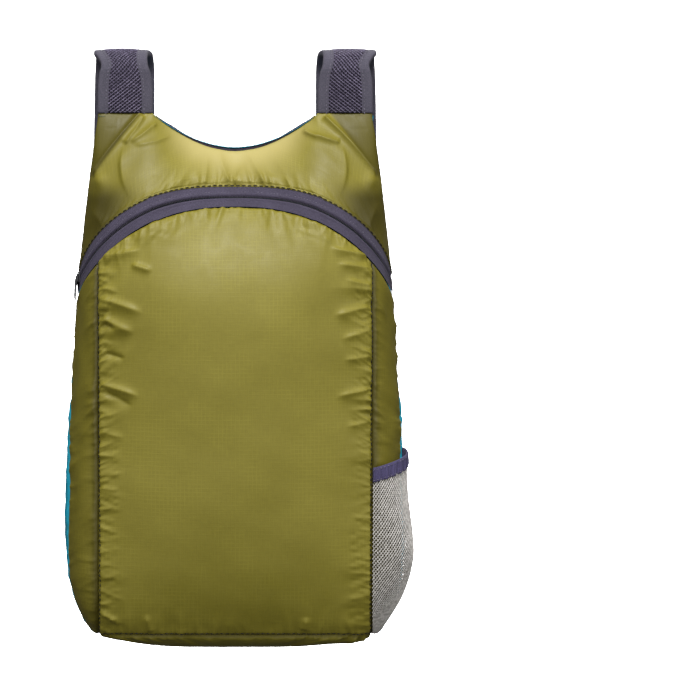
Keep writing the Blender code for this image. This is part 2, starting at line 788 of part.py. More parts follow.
def main():
    nylon = make_material("olive ripstop nylon", (0.24, 0.22, 0.035), 0.45)
    back_nylon = make_material("turquoise ripstop nylon", (0.01, 0.42, 0.55), 0.45)
    slate = make_material("slate woven tape", (0.09, 0.08, 0.12), 0.75)
    air_net = make_material("slate spacer net", (0.045, 0.04, 0.06), 0.85)
    white_net = make_material("white pocket net", (0.75, 0.73, 0.70), 0.7)
    moulded = make_material("black moulded plastic", (0.02, 0.02, 0.022), 0.45)

    columns = 2 * HALF_PANEL_COLUMNS
    cloth_object("front_panel", *FRONT_GRID, place_on_front, CLOTH, nylon)
    cloth_object("yoke_panel", columns, YOKE_ROWS, place_on_yoke, CLOTH, nylon)
    cloth_object("side_panel_left", *SIDE_GRID, side_panel(False), CLOTH, nylon)
    cloth_object("side_panel_right", *SIDE_GRID, side_panel(True), CLOTH, nylon)
    cloth_object("back_panel", columns, BACK_ROWS, place_on_back, CLOTH, back_nylon)
    make_bottom(nylon)
    make_zip(slate, slate, moulded)
    make_piping(slate)
    make_strap("left", air_net, slate, moulded, slate)
    make_strap("right", air_net, slate, moulded, slate)
    make_pocket(white_net, slate)


for old in list(bpy.data.objects):
    bpy.data.objects.remove(old)
parts = bpy.data.collections.new("packable daypack")
cutters = bpy.data.collections.new("cutters")
bpy.context.scene.collection.children.link(parts)
bpy.context.scene.collection.children.link(cutters)
main()
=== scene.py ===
"""The looks of a packable daypack of thin coated nylon, filled out and upright.

Run as a script, it dresses the packed solids: gathered cloth panels with their topstitching, the
arched zip, net and bound shoulder straps, the net side pocket, and a plain pale studio.
"""

import math
from typing import NamedTuple

import bmesh
import bpy
import numpy as np
from mathutils import Matrix, Vector


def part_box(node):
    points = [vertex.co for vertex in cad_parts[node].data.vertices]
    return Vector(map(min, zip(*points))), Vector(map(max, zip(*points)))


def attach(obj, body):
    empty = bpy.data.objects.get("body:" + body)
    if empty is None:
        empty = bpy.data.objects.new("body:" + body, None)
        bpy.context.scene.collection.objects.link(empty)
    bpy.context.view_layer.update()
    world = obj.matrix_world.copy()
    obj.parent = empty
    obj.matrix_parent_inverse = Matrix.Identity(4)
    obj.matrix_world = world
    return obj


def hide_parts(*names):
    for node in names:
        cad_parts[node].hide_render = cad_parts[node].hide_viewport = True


bl_info = {
    "name": "Packable Daypack",
    "version": (1, 0, 0),
    "blender": (4, 5, 0),
    "location": "View3D > Sidebar > Daypack",
    "description": "Dresses the solids of a packable daypack as gathered nylon, tape and net",
    "category": "Object",
}

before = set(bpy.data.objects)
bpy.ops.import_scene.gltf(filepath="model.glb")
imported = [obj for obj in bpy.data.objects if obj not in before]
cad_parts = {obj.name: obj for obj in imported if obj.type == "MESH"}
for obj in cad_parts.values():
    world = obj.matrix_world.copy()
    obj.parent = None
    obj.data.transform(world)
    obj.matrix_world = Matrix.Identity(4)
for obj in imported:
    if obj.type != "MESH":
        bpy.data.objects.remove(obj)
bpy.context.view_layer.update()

# The body's sizes in metres, which are the solids' own. Heights are measured up from the body's
# lowest point.
BOTTOM_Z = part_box("bottom_panel")[0].z
BODY_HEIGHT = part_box("yoke_panel")[1].z - BOTTOM_Z
HALF_BODY = 0.135
HALF_PANEL = HALF_BODY - 0.027
SEAM_GAP = 0.0006
BOTTOM_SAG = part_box("front_panel")[0].z - BOTTOM_Z - SEAM_GAP
HALF_LOOP = 0.020
SEAM_LEAN = 0.026
FRONT_DEPTH = 0.086
BACK_DEPTH = 0.030
CLOSING_HEIGHT = 0.150
HALF_NECK = 0.0655
NECK_DROP = 0.030
BACK_NECK_DROP = 0.026
NECK_CURVE = 1.9
EDGE_OFFSET = 0.0018
SEAM_TURN = math.radians(8)
SEAM_FORWARD_TURN = math.radians(9)
SEAM_FORWARD_HEIGHT = 0.118
SEAM_FORWARD_REACH = 0.055
SEAM_EASE = 0.100
LEAST_TURN = math.radians(0.3)
QUARTER = math.pi / 2
EVEN_POWER = 1.5
NECK_SHARE = 9 / 16

# The zip's arch and the widths of its tapes and coil
ZIP_END_HEIGHT = 0.286
ZIP_RISE = 0.071
ZIP_SHOULDER = 2.0
ZIP_ROUND = 0.68
TAPE_WIDTH = 0.0080
COIL_WIDTH = 0.0026
ZIP_HALF_WIDTH = TAPE_WIDTH + COIL_WIDTH / 2

# The straps, their buckles and webbing
STRAP_WIDTH = 0.044
STRAP_THICKNESS = 0.005
BINDING_WIDTH = 0.0095
BINDING_THICKNESS = 0.0056
CROWN_HEIGHT = 0.017
STRAP_BOW = 0.062
STRAP_SPLAY = 0.006
STRAP_END_HEIGHT = 0.165
STRAP_STEPS = 23
STRAND_SLOPE = 0.75
SEAT_GAP = 0.0003
BUCKLE_WIDTH = 0.032
BUCKLE_LENGTH = 0.024
BUCKLE_THICKNESS = 0.004
BUCKLE_BAR = 0.004
BUCKLE_GAP = 0.0006
BUCKLE_BEVEL = 0.0012
WEBBING_WIDTH = 0.020
WEBBING_THICKNESS = 0.0016
# Shares of the strap's length with its width and its splay
STRAP_SECTIONS = (
    (0.00, 1.00, 0.00),
    (0.06, 0.98, 0.00),
    (0.13, 0.85, 0.10),
    (0.22, 0.98, 0.60),
    (0.32, 1.05, 0.20),
    (0.55, 1.10, 0.40),
    (0.85, 0.90, 1.60),
    (1.00, 0.76, 2.00),
)

# The net pocket
POCKET_FRONT_HEIGHT = 0.144
POCKET_BACK_HEIGHT = 0.159
POCKET_STAND_OFF = 0.015
POCKET_MOUTH_SHARE = 0.60
POCKET_NET = 0.001
POCKET_BINDING = 0.0115
POCKET_BINDING_THICKNESS = 0.002
# How far a slanting yarn of its net climbs across the pocket
YARN_CLIMB = 0.085

# Columns and rows of the panels' grids
FRONT_GRID = (212, 440)
YOKE_GRID = (400, 130)
SIDE_GRID = (56, 230)
BACK_GRID = (210, 270)
BOTTOM_GRID = (420, 40)

# The yoke is rounded within this distance of its middle, and the rounding fades before it.
ROUNDED_REACH = 0.100
ROUNDED_FADE = 0.024

# The cloth simulation: the model is enlarged, where its steps are stable, and the loosest cloth is
# this share larger than its frame. Where the cloth is taut, its shifts are smoothed so often.
SIM_SCALE = 10
MOST_EXCESS = 0.06
TAUT_ROUNDS = 14
SIM_SETTINGS = {
    "quality": 6,
    "mass": 0.2,
    "tension_stiffness": 12,
    "compression_stiffness": 12,
    "shear_stiffness": 5,
    "bending_stiffness": 0.05,
    "air_damping": 2,
    "shrink_min": 0,
    "shrink_max": -MOST_EXCESS,
    "use_pressure": True,
}

# The studio and the view. The camera stands in front, level with the middle of the view.
FLOOR_Z = -0.85
CAMERA_DISTANCE = 3.4
VIEW_WIDTH = 0.560
VIEW_SHIFT = 0.164
VIEW_MIDDLE_Z = -0.235
BRIGHT_WAY = (0.0, -0.75, 0.66)
ROOM_STRENGTHS = (0.05, 1.25)
# The backdrop stands further off than the camera does when it looks from behind.
WALL_Y = CAMERA_DISTANCE + 1.0
WALL_CURVE = 1.0
WALL_TOP = 5.0
FLOOR_FRONT = -12.0
HALF_FLOOR = 7.0

# One row for each level of the body: shares of its height, half width and two depths, and how
# square the level section is. The solids have the same levels.
SECTIONS = (
    (0.000, 0.740, 0.70, 0.60, 6.0),
    (0.026, 0.825, 0.76, 0.68, 6.0),
    (0.058, 0.895, 0.83, 0.78, 5.4),
    (0.104, 0.957, 0.90, 0.87, 4.6),
    (0.164, 0.987, 0.96, 0.95, 3.9),
    (0.250, 1.000, 1.00, 1.00, 3.4),
    (0.410, 0.981, 1.00, 1.00, 3.1),
    (0.530, 0.953, 0.99, 0.99, 3.0),
    (0.662, 0.930, 0.96, 0.95, 2.8),
    (0.783, 0.895, 0.91, 0.87, 2.6),
    (0.934, 0.836, 0.84, 0.70, 2.5),
    (1.000, 0.812, 0.80, 0.60, 2.5),
)


def blend(start, end, share):
    return start + (end - start) * share


def ease(share):
    share = np.clip(share, 0, 1)
    return share * share * (3 - 2 * share)


def hermite(values, slopes, upper, span, t):
    """Values between the rows upper - 1 and upper of a table, along curves with its slopes."""
    below, above = values[upper - 1], values[upper]
    leave, arrive = slopes[upper - 1] * span, slopes[upper] * span
    bend = 3 * (above - below) - 2 * leave - arrive
    twist = leave + arrive - 2 * (above - below)
    return below + t * leave + t * t * bend + t * t * t * twist


def smooth_rows(rows, shares):
    """The columns of a table at each share of its first column, along smooth curves."""
    table = np.array(rows, float)
    at, values = table[:, 0], table[:, 1:]
    low, high = np.arange(len(at)) - 1, np.arange(len(at)) + 1
    low, high = np.maximum(low, 0), np.minimum(high, len(at) - 1)
    slopes = (values[high] - values[low]) / (at[high] - at[low])[:, None]
    shares = np.clip(shares, at[0], at[-1])
    upper = np.clip(np.searchsorted(at, shares), 1, len(at) - 1)
    span = (at[upper] - at[upper - 1])[..., None]
    t = (shares - at[upper - 1])[..., None] / span
    return np.moveaxis(hermite(values, slopes, upper, span, t), -1, 0)


def level_table():
    """The levels' columns on a fine scale, which every level section reads."""
    fine = np.linspace(0, 1, 400)
    return fine, smooth_rows(SECTIONS, fine)


LEVELS = level_table()


def section_at(height):
    fine, columns = LEVELS
    return [np.interp(height / BODY_HEIGHT, fine, column) for column in columns]


def top_height(side, drop=NECK_DROP):
    share = np.minimum(np.abs(side) / HALF_NECK, 1)
    return BODY_HEIGHT - drop * (1 - share**NECK_CURVE)


def seam_turn(height):
    reach = (height - SEAM_FORWARD_HEIGHT) / SEAM_FORWARD_REACH
    forward = SEAM_TURN + SEAM_FORWARD_TURN * np.exp(-reach * reach)
    return forward * ease((BODY_HEIGHT - CLOSING_HEIGHT - height) / SEAM_EASE)


def seam_y(height):
    return -HALF_LOOP + SEAM_LEAN * (1 - height / BODY_HEIGHT)


def side_of(angle, height):
    width, _, _, squareness = section_at(height)
    turn = np.cos(angle)
    return np.sign(turn) * np.abs(turn) ** (2 / squareness) * width * HALF_BODY


def angle_of(side, height):
    width, _, _, squareness = section_at(height)
    share = np.minimum(np.abs(side) / (width * HALF_BODY), 1)
    return np.arccos(np.sign(side) * share ** (squareness / 2))


def smooth_point(angle, height):
    """Points of the body's outer surface. Angle 0 is the right side and a quarter turn the front."""
    angle, height = np.broadcast_arrays(np.asarray(angle, float), np.asarray(height, float))
    _, front, back, squareness = section_at(height)
    side = side_of(angle, height)
    facing = np.where(np.sin(angle) >= 0, 1.0, -1.0)
    full = np.where(facing > 0, FRONT_DEPTH * front, BACK_DEPTH * back)
    drop = np.where(facing > 0, NECK_DROP, BACK_NECK_DROP)
    closing = 1 - (1 - np.clip((top_height(side, drop) - height) / CLOSING_HEIGHT, 0, 1)) ** 2
    depth = full * np.abs(np.sin(angle)) ** (2 / squareness)
    y = seam_y(height) - facing * (depth * closing + EDGE_OFFSET * (1 - closing))
    return np.stack([side, y, height + BOTTOM_Z], axis=-1)


def slopes_at(angle, height, step=1e-4):
    by_angle = (smooth_point(angle + step, height) - smooth_point(angle - step, height)) / (2 * step)
    low, high = np.maximum(height - step, 0), np.minimum(height + step, BODY_HEIGHT)
    rise = smooth_point(angle, high) - smooth_point(angle, low)
    return by_angle, rise / (high - low)[..., None]


def unit(vectors):
    return vectors / np.maximum(np.linalg.norm(vectors, axis=-1, keepdims=True), 1e-12)


def outward(angle, height):
    by_angle, by_height = slopes_at(np.asarray(angle, float), np.asarray(height, float))
    return unit(np.cross(by_height, by_angle))


def dot(a, b):
    return (a * b).sum(axis=-1)


def run_along(line):
    """The distance along a line to each of its points."""
    return np.concatenate([[0], np.cumsum(np.linalg.norm(np.diff(line, axis=0), axis=1))])


def zip_height(angle):
    return ZIP_END_HEIGHT + ZIP_RISE * (1 - np.abs(np.cos(angle)) ** ZIP_SHOULDER) ** ZIP_ROUND


def zip_way(angle, step=1e-3):
    """The way along the zip's middle line."""
    ahead = smooth_point(angle + step, zip_height(angle + step))
    return ahead - smooth_point(angle - step, zip_height(angle - step))


def zip_place(angle, offset):
    """Angle and height on the body at a distance above or below the zip's middle line."""
    height = zip_height(angle)
    by_angle, by_height = slopes_at(angle, height)
    normal = unit(np.cross(by_height, by_angle))
    across = unit(np.cross(zip_way(angle), normal)) * np.asarray(offset)[..., None]
    aa, hh, ah = dot(by_angle, by_angle), dot(by_height, by_height), dot(by_angle, by_height)
    da, dh = dot(by_angle, across), dot(by_height, across)
    scale = aa * hh - ah * ah
    return angle + (da * hh - dh * ah) / scale, height + (dh * aa - da * ah) / scale


def zip_angle_where(reaches, offset):
    """The least angle at which a line beside the zip's middle passes a test of angle and height."""
    low, high = LEAST_TURN, QUARTER
    for _ in range(40):
        middle = np.array((low + high) / 2)
        if reaches(*zip_place(middle, np.array(offset))):
            high = float(middle)
        else:
            low = float(middle)
    return (low + high) / 2


LOWER_EDGE = -ZIP_HALF_WIDTH - SEAM_GAP
UPPER_EDGE = ZIP_HALF_WIDTH + SEAM_GAP
PANEL_CORNER = zip_angle_where(lambda a, h: side_of(a, h) <= HALF_PANEL, LOWER_EDGE)
LOWER_END = zip_angle_where(lambda a, h: a >= seam_turn(h), LOWER_EDGE)
UPPER_END = zip_angle_where(lambda a, h: a >= seam_turn(h), UPPER_EDGE)


def even_share(share):
    near, far = share**EVEN_POWER, (1 - share) ** EVEN_POWER
    return near / (near + far)


def even_turn(share):
    return np.sign(share) * even_share(np.abs(share))


def gap_angle(angle, height, gap):
    return gap / np.linalg.norm(slopes_at(angle, height)[0], axis=-1)


# Each panel's place function takes shares across and up, and gives angle and height on the body.


def front_place(u, v):
    top_angle, top = zip_place(blend(math.pi - PANEL_CORNER, PANEL_CORNER, u), LOWER_EDGE)
    height = blend(BOTTOM_SAG + SEAM_GAP, top, v)
    across = blend(2 * u - 1, side_of(top_angle, top) / HALF_PANEL, v)
    side = across * (HALF_PANEL - SEAM_GAP / 2)
    return angle_of(side, height), height


def side_place(u, v):
    top_angle, top = zip_place(blend(PANEL_CORNER, LOWER_END, u), LOWER_EDGE)
    height = blend(BOTTOM_SAG + SEAM_GAP, top, v)
    front, back = angle_of(HALF_PANEL, height), seam_turn(height)
    top_front = angle_of(HALF_PANEL, top)
    top_share = (top_angle - top_front) / (seam_turn(top) - top_front)
    share = blend(u, top_share, v)
    front = front - gap_angle(front, height, SEAM_GAP / 2)
    back = back + gap_angle(back, height, SEAM_GAP / 2)
    return blend(front, back, share), height


def top_side(share):
    reach = side_of(0.0, BODY_HEIGHT)
    beyond = (np.abs(share) - NECK_SHARE) / (1 - NECK_SHARE)
    outer = np.sign(share) * blend(HALF_NECK, reach, beyond)
    return np.where(np.abs(share) <= NECK_SHARE, HALF_NECK * share / NECK_SHARE, outer)


def yoke_place(u, v):
    way = 2 * u - 1
    zip_angle, low = zip_place(QUARTER - even_turn(way) * (QUARTER - UPPER_END), UPPER_EDGE)
    end_side = top_side(way)
    top = top_height(end_side)
    height = blend(low, top, v)
    low_share = (zip_angle - QUARTER) / (QUARTER - seam_turn(low))
    top_share = (angle_of(end_side, top) - QUARTER) / (QUARTER - seam_turn(top))
    share = np.clip(blend(low_share, top_share, v), -1, 1)
    turn = seam_turn(height)
    return QUARTER + share * (QUARTER - turn - gap_angle(turn, height, SEAM_GAP / 2)), height


def back_place(u, v):
    way = 1 - 2 * u
    share, end_side = even_turn(way), top_side(way)
    top = top_height(end_side, BACK_NECK_DROP)
    # Under the straps its edge ends a little lower, behind the straps' sewn bases.
    top = top - 0.0016 * ease((np.abs(end_side) - HALF_NECK - 0.001) / 0.004)
    height = blend(BOTTOM_SAG + SEAM_GAP, top, v)
    turn = seam_turn(height)
    wrap = QUARTER + turn - gap_angle(turn, height, SEAM_GAP / 2)
    section_top = (QUARTER - angle_of(np.abs(end_side), top)) / QUARTER
    top_share = np.where(np.abs(share) < 1, np.sign(share) * section_top, share)
    return -QUARTER + blend(share, top_share, ease(v)) * wrap, height


def grid_shares(columns, rows):
    return np.meshgrid(np.linspace(0, 1, columns + 1), np.linspace(0, 1, rows + 1))


def cloth_scale(points):
    """Distances along the cloth from its middle column and from its lowest row."""
    across = np.linalg.norm(np.diff(points, axis=1), axis=-1)
    across = np.concatenate([np.zeros((len(points), 1)), np.cumsum(across, axis=1)], axis=1)
    across -= across[:, across.shape[1] // 2][:, None]
    up = np.linalg.norm(np.diff(points, axis=0), axis=-1)
    up = np.concatenate([np.zeros((1, points.shape[1])), np.cumsum(up, axis=0)], axis=0)
    return across, up


def linked(name, data):
    """An object of the scene, made from its data."""
    obj = bpy.data.objects.new(name, data)
    bpy.context.scene.collection.objects.link(obj)
    return obj


def grid_object(name, points, along=None):
    """A mesh object of quads through a grid of points, with a UV map in metres along the cloth."""
    rows, columns = points.shape[:2]
    index = np.arange(rows * columns).reshape(rows, columns)
    quads = np.stack([index[:-1, :-1], index[:-1, 1:], index[1:, 1:], index[1:, :-1]], axis=-1)
    mesh = bpy.data.meshes.new(name)
    mesh.from_pydata(points.reshape(-1, 3).tolist(), [], quads.reshape(-1, 4).tolist())
    across, up = cloth_scale(points) if along is None else along
    layer = mesh.uv_layers.new(name="cloth")
    flat = np.stack([across.ravel(), up.ravel()], axis=-1)[quads.ravel()]
    layer.uv.foreach_set("vector", flat.ravel().astype(np.float32))
    mesh.shade_smooth()
    return linked(name, mesh)


def give_finish(obj, material, *nodes):
    """Gives a finished piece its material and slot, and says which solids it stands for."""
    obj.data.materials.clear()
    obj.data.materials.append(finish(material))
    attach(obj, "root")
    if nodes:
        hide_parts(*nodes)
    return obj


def linear(hex_colour):
    """A colour from its sRGB hex value to the linear values that a shader takes."""
    channels = [int(hex_colour[i : i + 2], 16) / 255 for i in (1, 3, 5)]
    return [c / 12.92 if c <= 0.04045 else ((c + 0.055) / 1.055) ** 2.4 for c in channels] + [1]


def feed(tree, node, inputs):
    """Gives each of a node's named inputs a value or a link."""
    for socket, value in inputs.items():
        if isinstance(value, bpy.types.NodeSocket):
            tree.links.new(value, node.inputs[socket])
        else:
            node.inputs[socket].default_value = value


def add_node(tree, kind, inputs=None, **settings):
    """Adds a node with its settings and its inputs' values or links."""
    made = tree.nodes.new(kind)
    for name, value in settings.items():
        setattr(made, name, value)
    feed(tree, made, inputs or {})
    return made


# The panels' own cloth, folded and gathered


class Cloth:
    """A panel's fine grid: its points, its directions out, and each point's way to the four edges."""

    def __init__(self, points, out):
        self.points, self.out = points, out
        self.measure()

    def measure(self):
        self.across, self.up = cloth_scale(self.points)
        self.away = {
            "left": self.across - self.across[:, :1],
            "right": self.across[:, -1:] - self.across,
            "low": self.up,
            "high": self.up[-1:] - self.up,
        }
        self.side = self.points[..., 0]
        self.height = self.points[..., 2] - BOTTOM_Z

    def raise_by(self, relief):
        self.points = self.points + self.out * relief[..., None]

    def nearest(self, *edges):
        """Distance to the nearest of the edges named, or of all four."""
        return np.minimum.reduce([self.away[edge] for edge in edges or self.away])

    def edge_run(self, edge):
        """Distance along an edge, the same for all points that face the same place of it."""
        lines = {
            "left": self.up[:, :1],
            "right": self.up[:, -1:],
            "low": self.across[:1],
            "high": self.across[-1:],
        }
        run = np.broadcast_to(lines[edge], self.up.shape)
        return run - run.min()


def panel_cloth(place, columns, rows, mirror=False):
    angle, height = place(*grid_shares(columns, rows))
    points, out = smooth_point(angle, height), outward(angle, height)
    if mirror:
        points, out = points[:, ::-1] * (-1, 1, 1), out[:, ::-1] * (-1, 1, 1)
    return Cloth(points, out)


def rounded(cloth, times, margin):
    """Rounds off the creases of the body's plain form, away from the cloth's edges and sides."""
    front = ease((ROUNDED_REACH - np.abs(cloth.side)) / ROUNDED_FADE)
    share = 0.5 * (front * ease(cloth.nearest() / margin))[1:-1, 1:-1, None]
    points = cloth.points.copy()
    for _ in range(times):
        around = points[:-2, 1:-1] + points[2:, 1:-1] + points[1:-1, :-2] + points[1:-1, 2:]
        points[1:-1, 1:-1] += share * (around / 4 - points[1:-1, 1:-1])
    cloth.points = points
    cloth.measure()


class Tier(NamedTuple):
    """One order of gathers, in millimetres: their pitch, how far they reach and how far they rise."""

    pitch: float
    reach: float
    rise: float


GATHER_TIERS = (Tier(4.4, 13, 1.15), Tier(9.0, 26, 1.75), Tier(20, 40, 1.7))
MM = 0.001


def gathers(cloth, edge, seed, strength, slant=0.0, tiers=GATHER_TIERS):
    """Small ridges that run away from a sewn edge and fan out.

    Strength is a table of places along the edge, in shares of its length, with a share of the rise.
    Slant is how far the ridges lean along the edge for each metre that they run from it.
    """
    rng = np.random.default_rng(seed)
    away, run = cloth.away[edge], cloth.edge_run(edge)
    length = run.max()
    at, strong = np.array(strength, float).T
    relief = np.zeros(away.shape)
    for tier in tiers:
        pitch, reach, rise = (value * MM for value in tier)
        count = int(length / pitch)
        spots = (np.arange(count) + rng.uniform(0.1, 0.9, count)) * pitch
        for spot, (far, lean, wide, high) in zip(spots, rng.uniform(0, 1, (count, 4))):
            reach_here = reach * blend(0.55, 1.35, far)
            near = away < reach_here
            d = away[near]
            width = pitch * blend(0.16, 0.27, wide) * (1 + d / reach_here)
            off = run[near] - spot - (slant + blend(-0.35, 0.35, lean)) * d
            crest = np.exp(-((np.abs(off) / width) ** 1.4))
            fade = ease(d / (0.12 * reach_here)) * (1 - ease(d / reach_here)) ** 0.8
            share = np.interp(spot / length, at, strong) * blend(0.15, 1.35, high)
            relief[near] += rise * share * crest * fade
    return relief


class Fold(NamedTuple):
    """A crease from its start to its end, in millimetres to the right and up from the bottom.

    Bend moves its middle to its left, as a share of its length. Left and right are the widths of
    its two slopes, in millimetres, and lead_in and lead_out the shares over which it fades.
    """

    start: tuple
    end: tuple
    bend: float
    rise: float
    left: float
    right: float
    lead_in: float = 0.2
    lead_out: float = 0.4


def puckers(side, low, high, seed, pitch, longest, rise):
    """Short sharp puckers drawn up by a seam's stitches, at about right angles to the seam."""
    rng = np.random.default_rng(seed)
    folds, height = [], low
    while height < high:
        reach = longest * rng.uniform(0.4, 1)
        end = (side - np.sign(side) * reach, height + reach * rng.uniform(-0.40, 0.15))
        size = rise * rng.uniform(0.6, 1.3)
        bend = rng.uniform(-0.06, 0.06)
        folds.append(Fold((side, height), end, bend, size, 1.3, 1.7, 0.10, 0.45))
        height += pitch * rng.uniform(0.7, 1.4)
    return tuple(folds)


def fold_relief(cloth, folds, mirror=False):
    """How far the folds of a table stand out of the cloth, or hollow it."""
    way = -1 if mirror else 1
    place = np.stack([cloth.side * way, cloth.height], axis=-1) / MM
    relief = np.zeros(cloth.side.shape)
    for fold in folds:
        start, end = np.array(fold.start, float), np.array(fold.end, float)
        chord = end - start
        length = np.hypot(*chord)
        middle = (start + end) / 2 + np.array([-chord[1], chord[0]]) * fold.bend * 2
        t = np.clip(dot(place - start, chord) / length**2, 0, 1)[..., None]
        on = (1 - t) ** 2 * start + 2 * t * (1 - t) * middle + t * t * end
        tangent = unit((1 - t) * (middle - start) + t * (end - middle))
        off = place - on
        aside = tangent[..., 0] * off[..., 1] - tangent[..., 1] * off[..., 0]
        beyond = np.abs(dot(off, tangent))
        width = np.where(aside > 0, fold.left, fold.right)
        t = t[..., 0]
        fade = ease(t / max(fold.lead_in, 1e-3)) * ease((1 - t) / max(fold.lead_out, 1e-3))
        shape = np.exp(-((np.abs(aside) / width) ** 1.3) - (beyond / width) ** 2)
        relief += fold.rise * MM * fade * shape
    return relief


class Puff(NamedTuple):
    """A round swelling or hollow, in millimetres: its middle, its two half widths and its rise."""

    middle: tuple
    half_size: tuple
    rise: float


def puff_relief(cloth, puffs, mirror=False):
    """How far the swellings of a table stand out of the cloth, or hollow it."""
    way = -1 if mirror else 1
    relief = np.zeros(cloth.side.shape)
    for puff in puffs:
        x = (cloth.side * way / MM - puff.middle[0]) / puff.half_size[0]
        z = (cloth.height / MM - puff.middle[1]) / puff.half_size[1]
        relief += puff.rise * MM * np.exp(-x * x - z * z)
    return relief


def swell(cloth, seed, rise, shortest, longest, waves=14):
    """The slight unevenness of filled thin cloth, as waves in all directions."""
    rng = np.random.default_rng(seed)
    relief = np.zeros(cloth.side.shape)
    for _ in range(waves):
        turn, phase, size = rng.uniform(0, math.tau), rng.uniform(0, math.tau), rng.uniform(0, 1)
        wavelength = shortest * (longest / shortest) ** size
        way = cloth.across * math.cos(turn) + cloth.up * math.sin(turn)
        relief += np.sin(way * math.tau / wavelength + phase) * wavelength / longest
    return relief * rise / math.sqrt(waves)


def edge_tuck(cloth, depth, width, edges=("left", "right", "low", "high")):
    """The dip of the cloth into its seams."""
    relief = np.zeros(cloth.side.shape)
    for edge in edges:
        relief = np.minimum(relief, -depth * np.exp(-((cloth.away[edge] / width) ** 2)))
    return relief


def edge_fade(cloth, width, edges=("left", "right", "low", "high")):
    """From 0 at the edges to 1 at a distance from them."""
    return np.prod([ease(cloth.away[edge] / width) for edge in edges], axis=0)


def settle(cloth, seed, excess, pressure, step=3, frames=22, cap=0.006):
    """Lets the cloth find its own folds: pinned at its edges and a little too large, it is blown out.

    The simulation runs on every few lines of the grid, given by step, at ten times the size, and
    what it moves is spread back over the fine grid. Excess says how loose each point is, as a
    share of MOST_EXCESS, and cap is the most that a point may move, in metres.
    """
    rows, columns = (thinned(count, step) for count in cloth.side.shape)
    coarse = cloth.points[np.ix_(rows, columns)]
    rng = np.random.default_rng(seed)
    uneven = rng.normal(0, 2e-4, coarse.shape[:2])[..., None]
    start = coarse + cloth.out[np.ix_(rows, columns)] * uneven
    obj = grid_object("settling", start * SIM_SCALE)
    loose = obj.vertex_groups.new(name="excess")
    held = obj.vertex_groups.new(name="held")
    share = excess[np.ix_(rows, columns)].ravel()
    for index, weight in enumerate(share):
        loose.add([index], float(weight), "REPLACE")
    grid = np.arange(coarse.shape[0] * coarse.shape[1]).reshape(coarse.shape[:2])
    rim = np.concatenate([grid[0], grid[-1], grid[:, 0], grid[:, -1]])
    held.add([int(i) for i in np.unique(rim)], 1, "REPLACE")
    modifier = obj.modifiers.new("cloth", "CLOTH")
    settings = modifier.settings
    for name, value in SIM_SETTINGS.items():
        setattr(settings, name, value)
    settings.vertex_group_mass = "held"
    settings.vertex_group_shrink = "excess"
    settings.uniform_pressure_force = pressure
    settings.effector_weights.gravity = 0
    modifier.point_cache.frame_end = frames
    scene = bpy.context.scene
    for number in range(1, frames + 1):
        scene.frame_set(number)
    made = obj.evaluated_get(bpy.context.evaluated_depsgraph_get())
    settled = bpy.data.meshes.new_from_object(made)
    moved = np.empty(coarse.size, np.float32)
    settled.vertices.foreach_get("co", moved)
    shift = moved.reshape(coarse.shape) / SIM_SCALE - coarse
    length = np.linalg.norm(shift, axis=-1, keepdims=True)
    shift *= cap * np.tanh(length / cap) / np.maximum(length, 1e-9)
    bpy.data.objects.remove(obj)
    bpy.data.meshes.remove(settled)
    scene.frame_set(1)
    # Where it has no excess the cloth is taut, so only its broad swelling is kept there.
    looseness = ease(share.reshape(coarse.shape[:2]) / max(share.max(), 1e-9) / 0.5)
    taut = 0.7 * (1 - looseness)[..., None]
    for _ in range(TAUT_ROUNDS):
        around = sum(np.roll(shift, way, axis) for axis in (0, 1) for way in (1, -1)) / 4
        shift += taut * (around - shift)
    cloth.points = cloth.points + spread(shift, rows, columns, cloth.side.shape)


def thinned(count, step):
    """Every few lines of a grid, with its last one."""
    return [*range(0, count - 1, step), count - 1]


def spread(values, rows, columns, shape):
    """Values on a coarse grid carried to every line of the fine one, along smooth curves."""
    for axis, lines, count in ((0, rows, shape[0]), (1, columns, shape[1])):
        values = np.moveaxis(values, axis, 0)
        slopes = np.gradient(values, lines, axis=0)
        fine = np.arange(count)
        upper = np.clip(np.searchsorted(lines, fine), 1, len(lines) - 1)
        low = np.array(lines)[upper - 1]
        span = (np.array(lines)[upper] - low)[:, None, None].astype(float)
        t = (fine - low)[:, None, None] / span
        values = np.moveaxis(hermite(values, slopes, upper, span, t), 0, axis)
    return values


def inset_line(cloth, edge, distance, lift=0.0):
    """A line on the cloth at a distance from one of its edges, lifted off it."""
    points, away = cloth.points + cloth.out * lift, cloth.away[edge]
    if edge in ("low", "high"):
        points, away = points.swapaxes(0, 1), away.T
    if edge in ("right", "high"):
        points, away = points[:, ::-1], away[:, ::-1]
    line = []
    for row, reach in zip(points, away):
        upper = min(max(int(np.searchsorted(reach, distance)), 1), len(reach) - 1)
        t = (distance - reach[upper - 1]) / max(reach[upper] - reach[upper - 1], 1e-9)
        line.append(blend(row[upper - 1], row[upper], t))
    return np.array(line)


def turned_in(cloth, depth):
    """The cloth with its edges turned in behind the seams, as the allowances of a sewn seam are."""
    points, out = cloth.points, cloth.out
    along = [cloth.up, cloth.across]
    for axis in (0, 1):
        first, last = [slice(None)] * 2, [slice(None)] * 2
        first[axis], last[axis] = slice(0, 1), slice(-1, None)
        first, last = tuple(first), tuple(last)
        ends = [points[first] - out[first] * depth, points, points[last] - out[last] * depth]
        points = np.concatenate(ends, axis=axis)
        out = np.concatenate([out[first], out, out[last]], axis=axis)
        for way, values in enumerate(along):
            step = depth if way == axis else 0.0
            along[way] = np.concatenate([values[first] - step, values, values[last] + step], axis=axis)
    return points, (along[1], along[0])


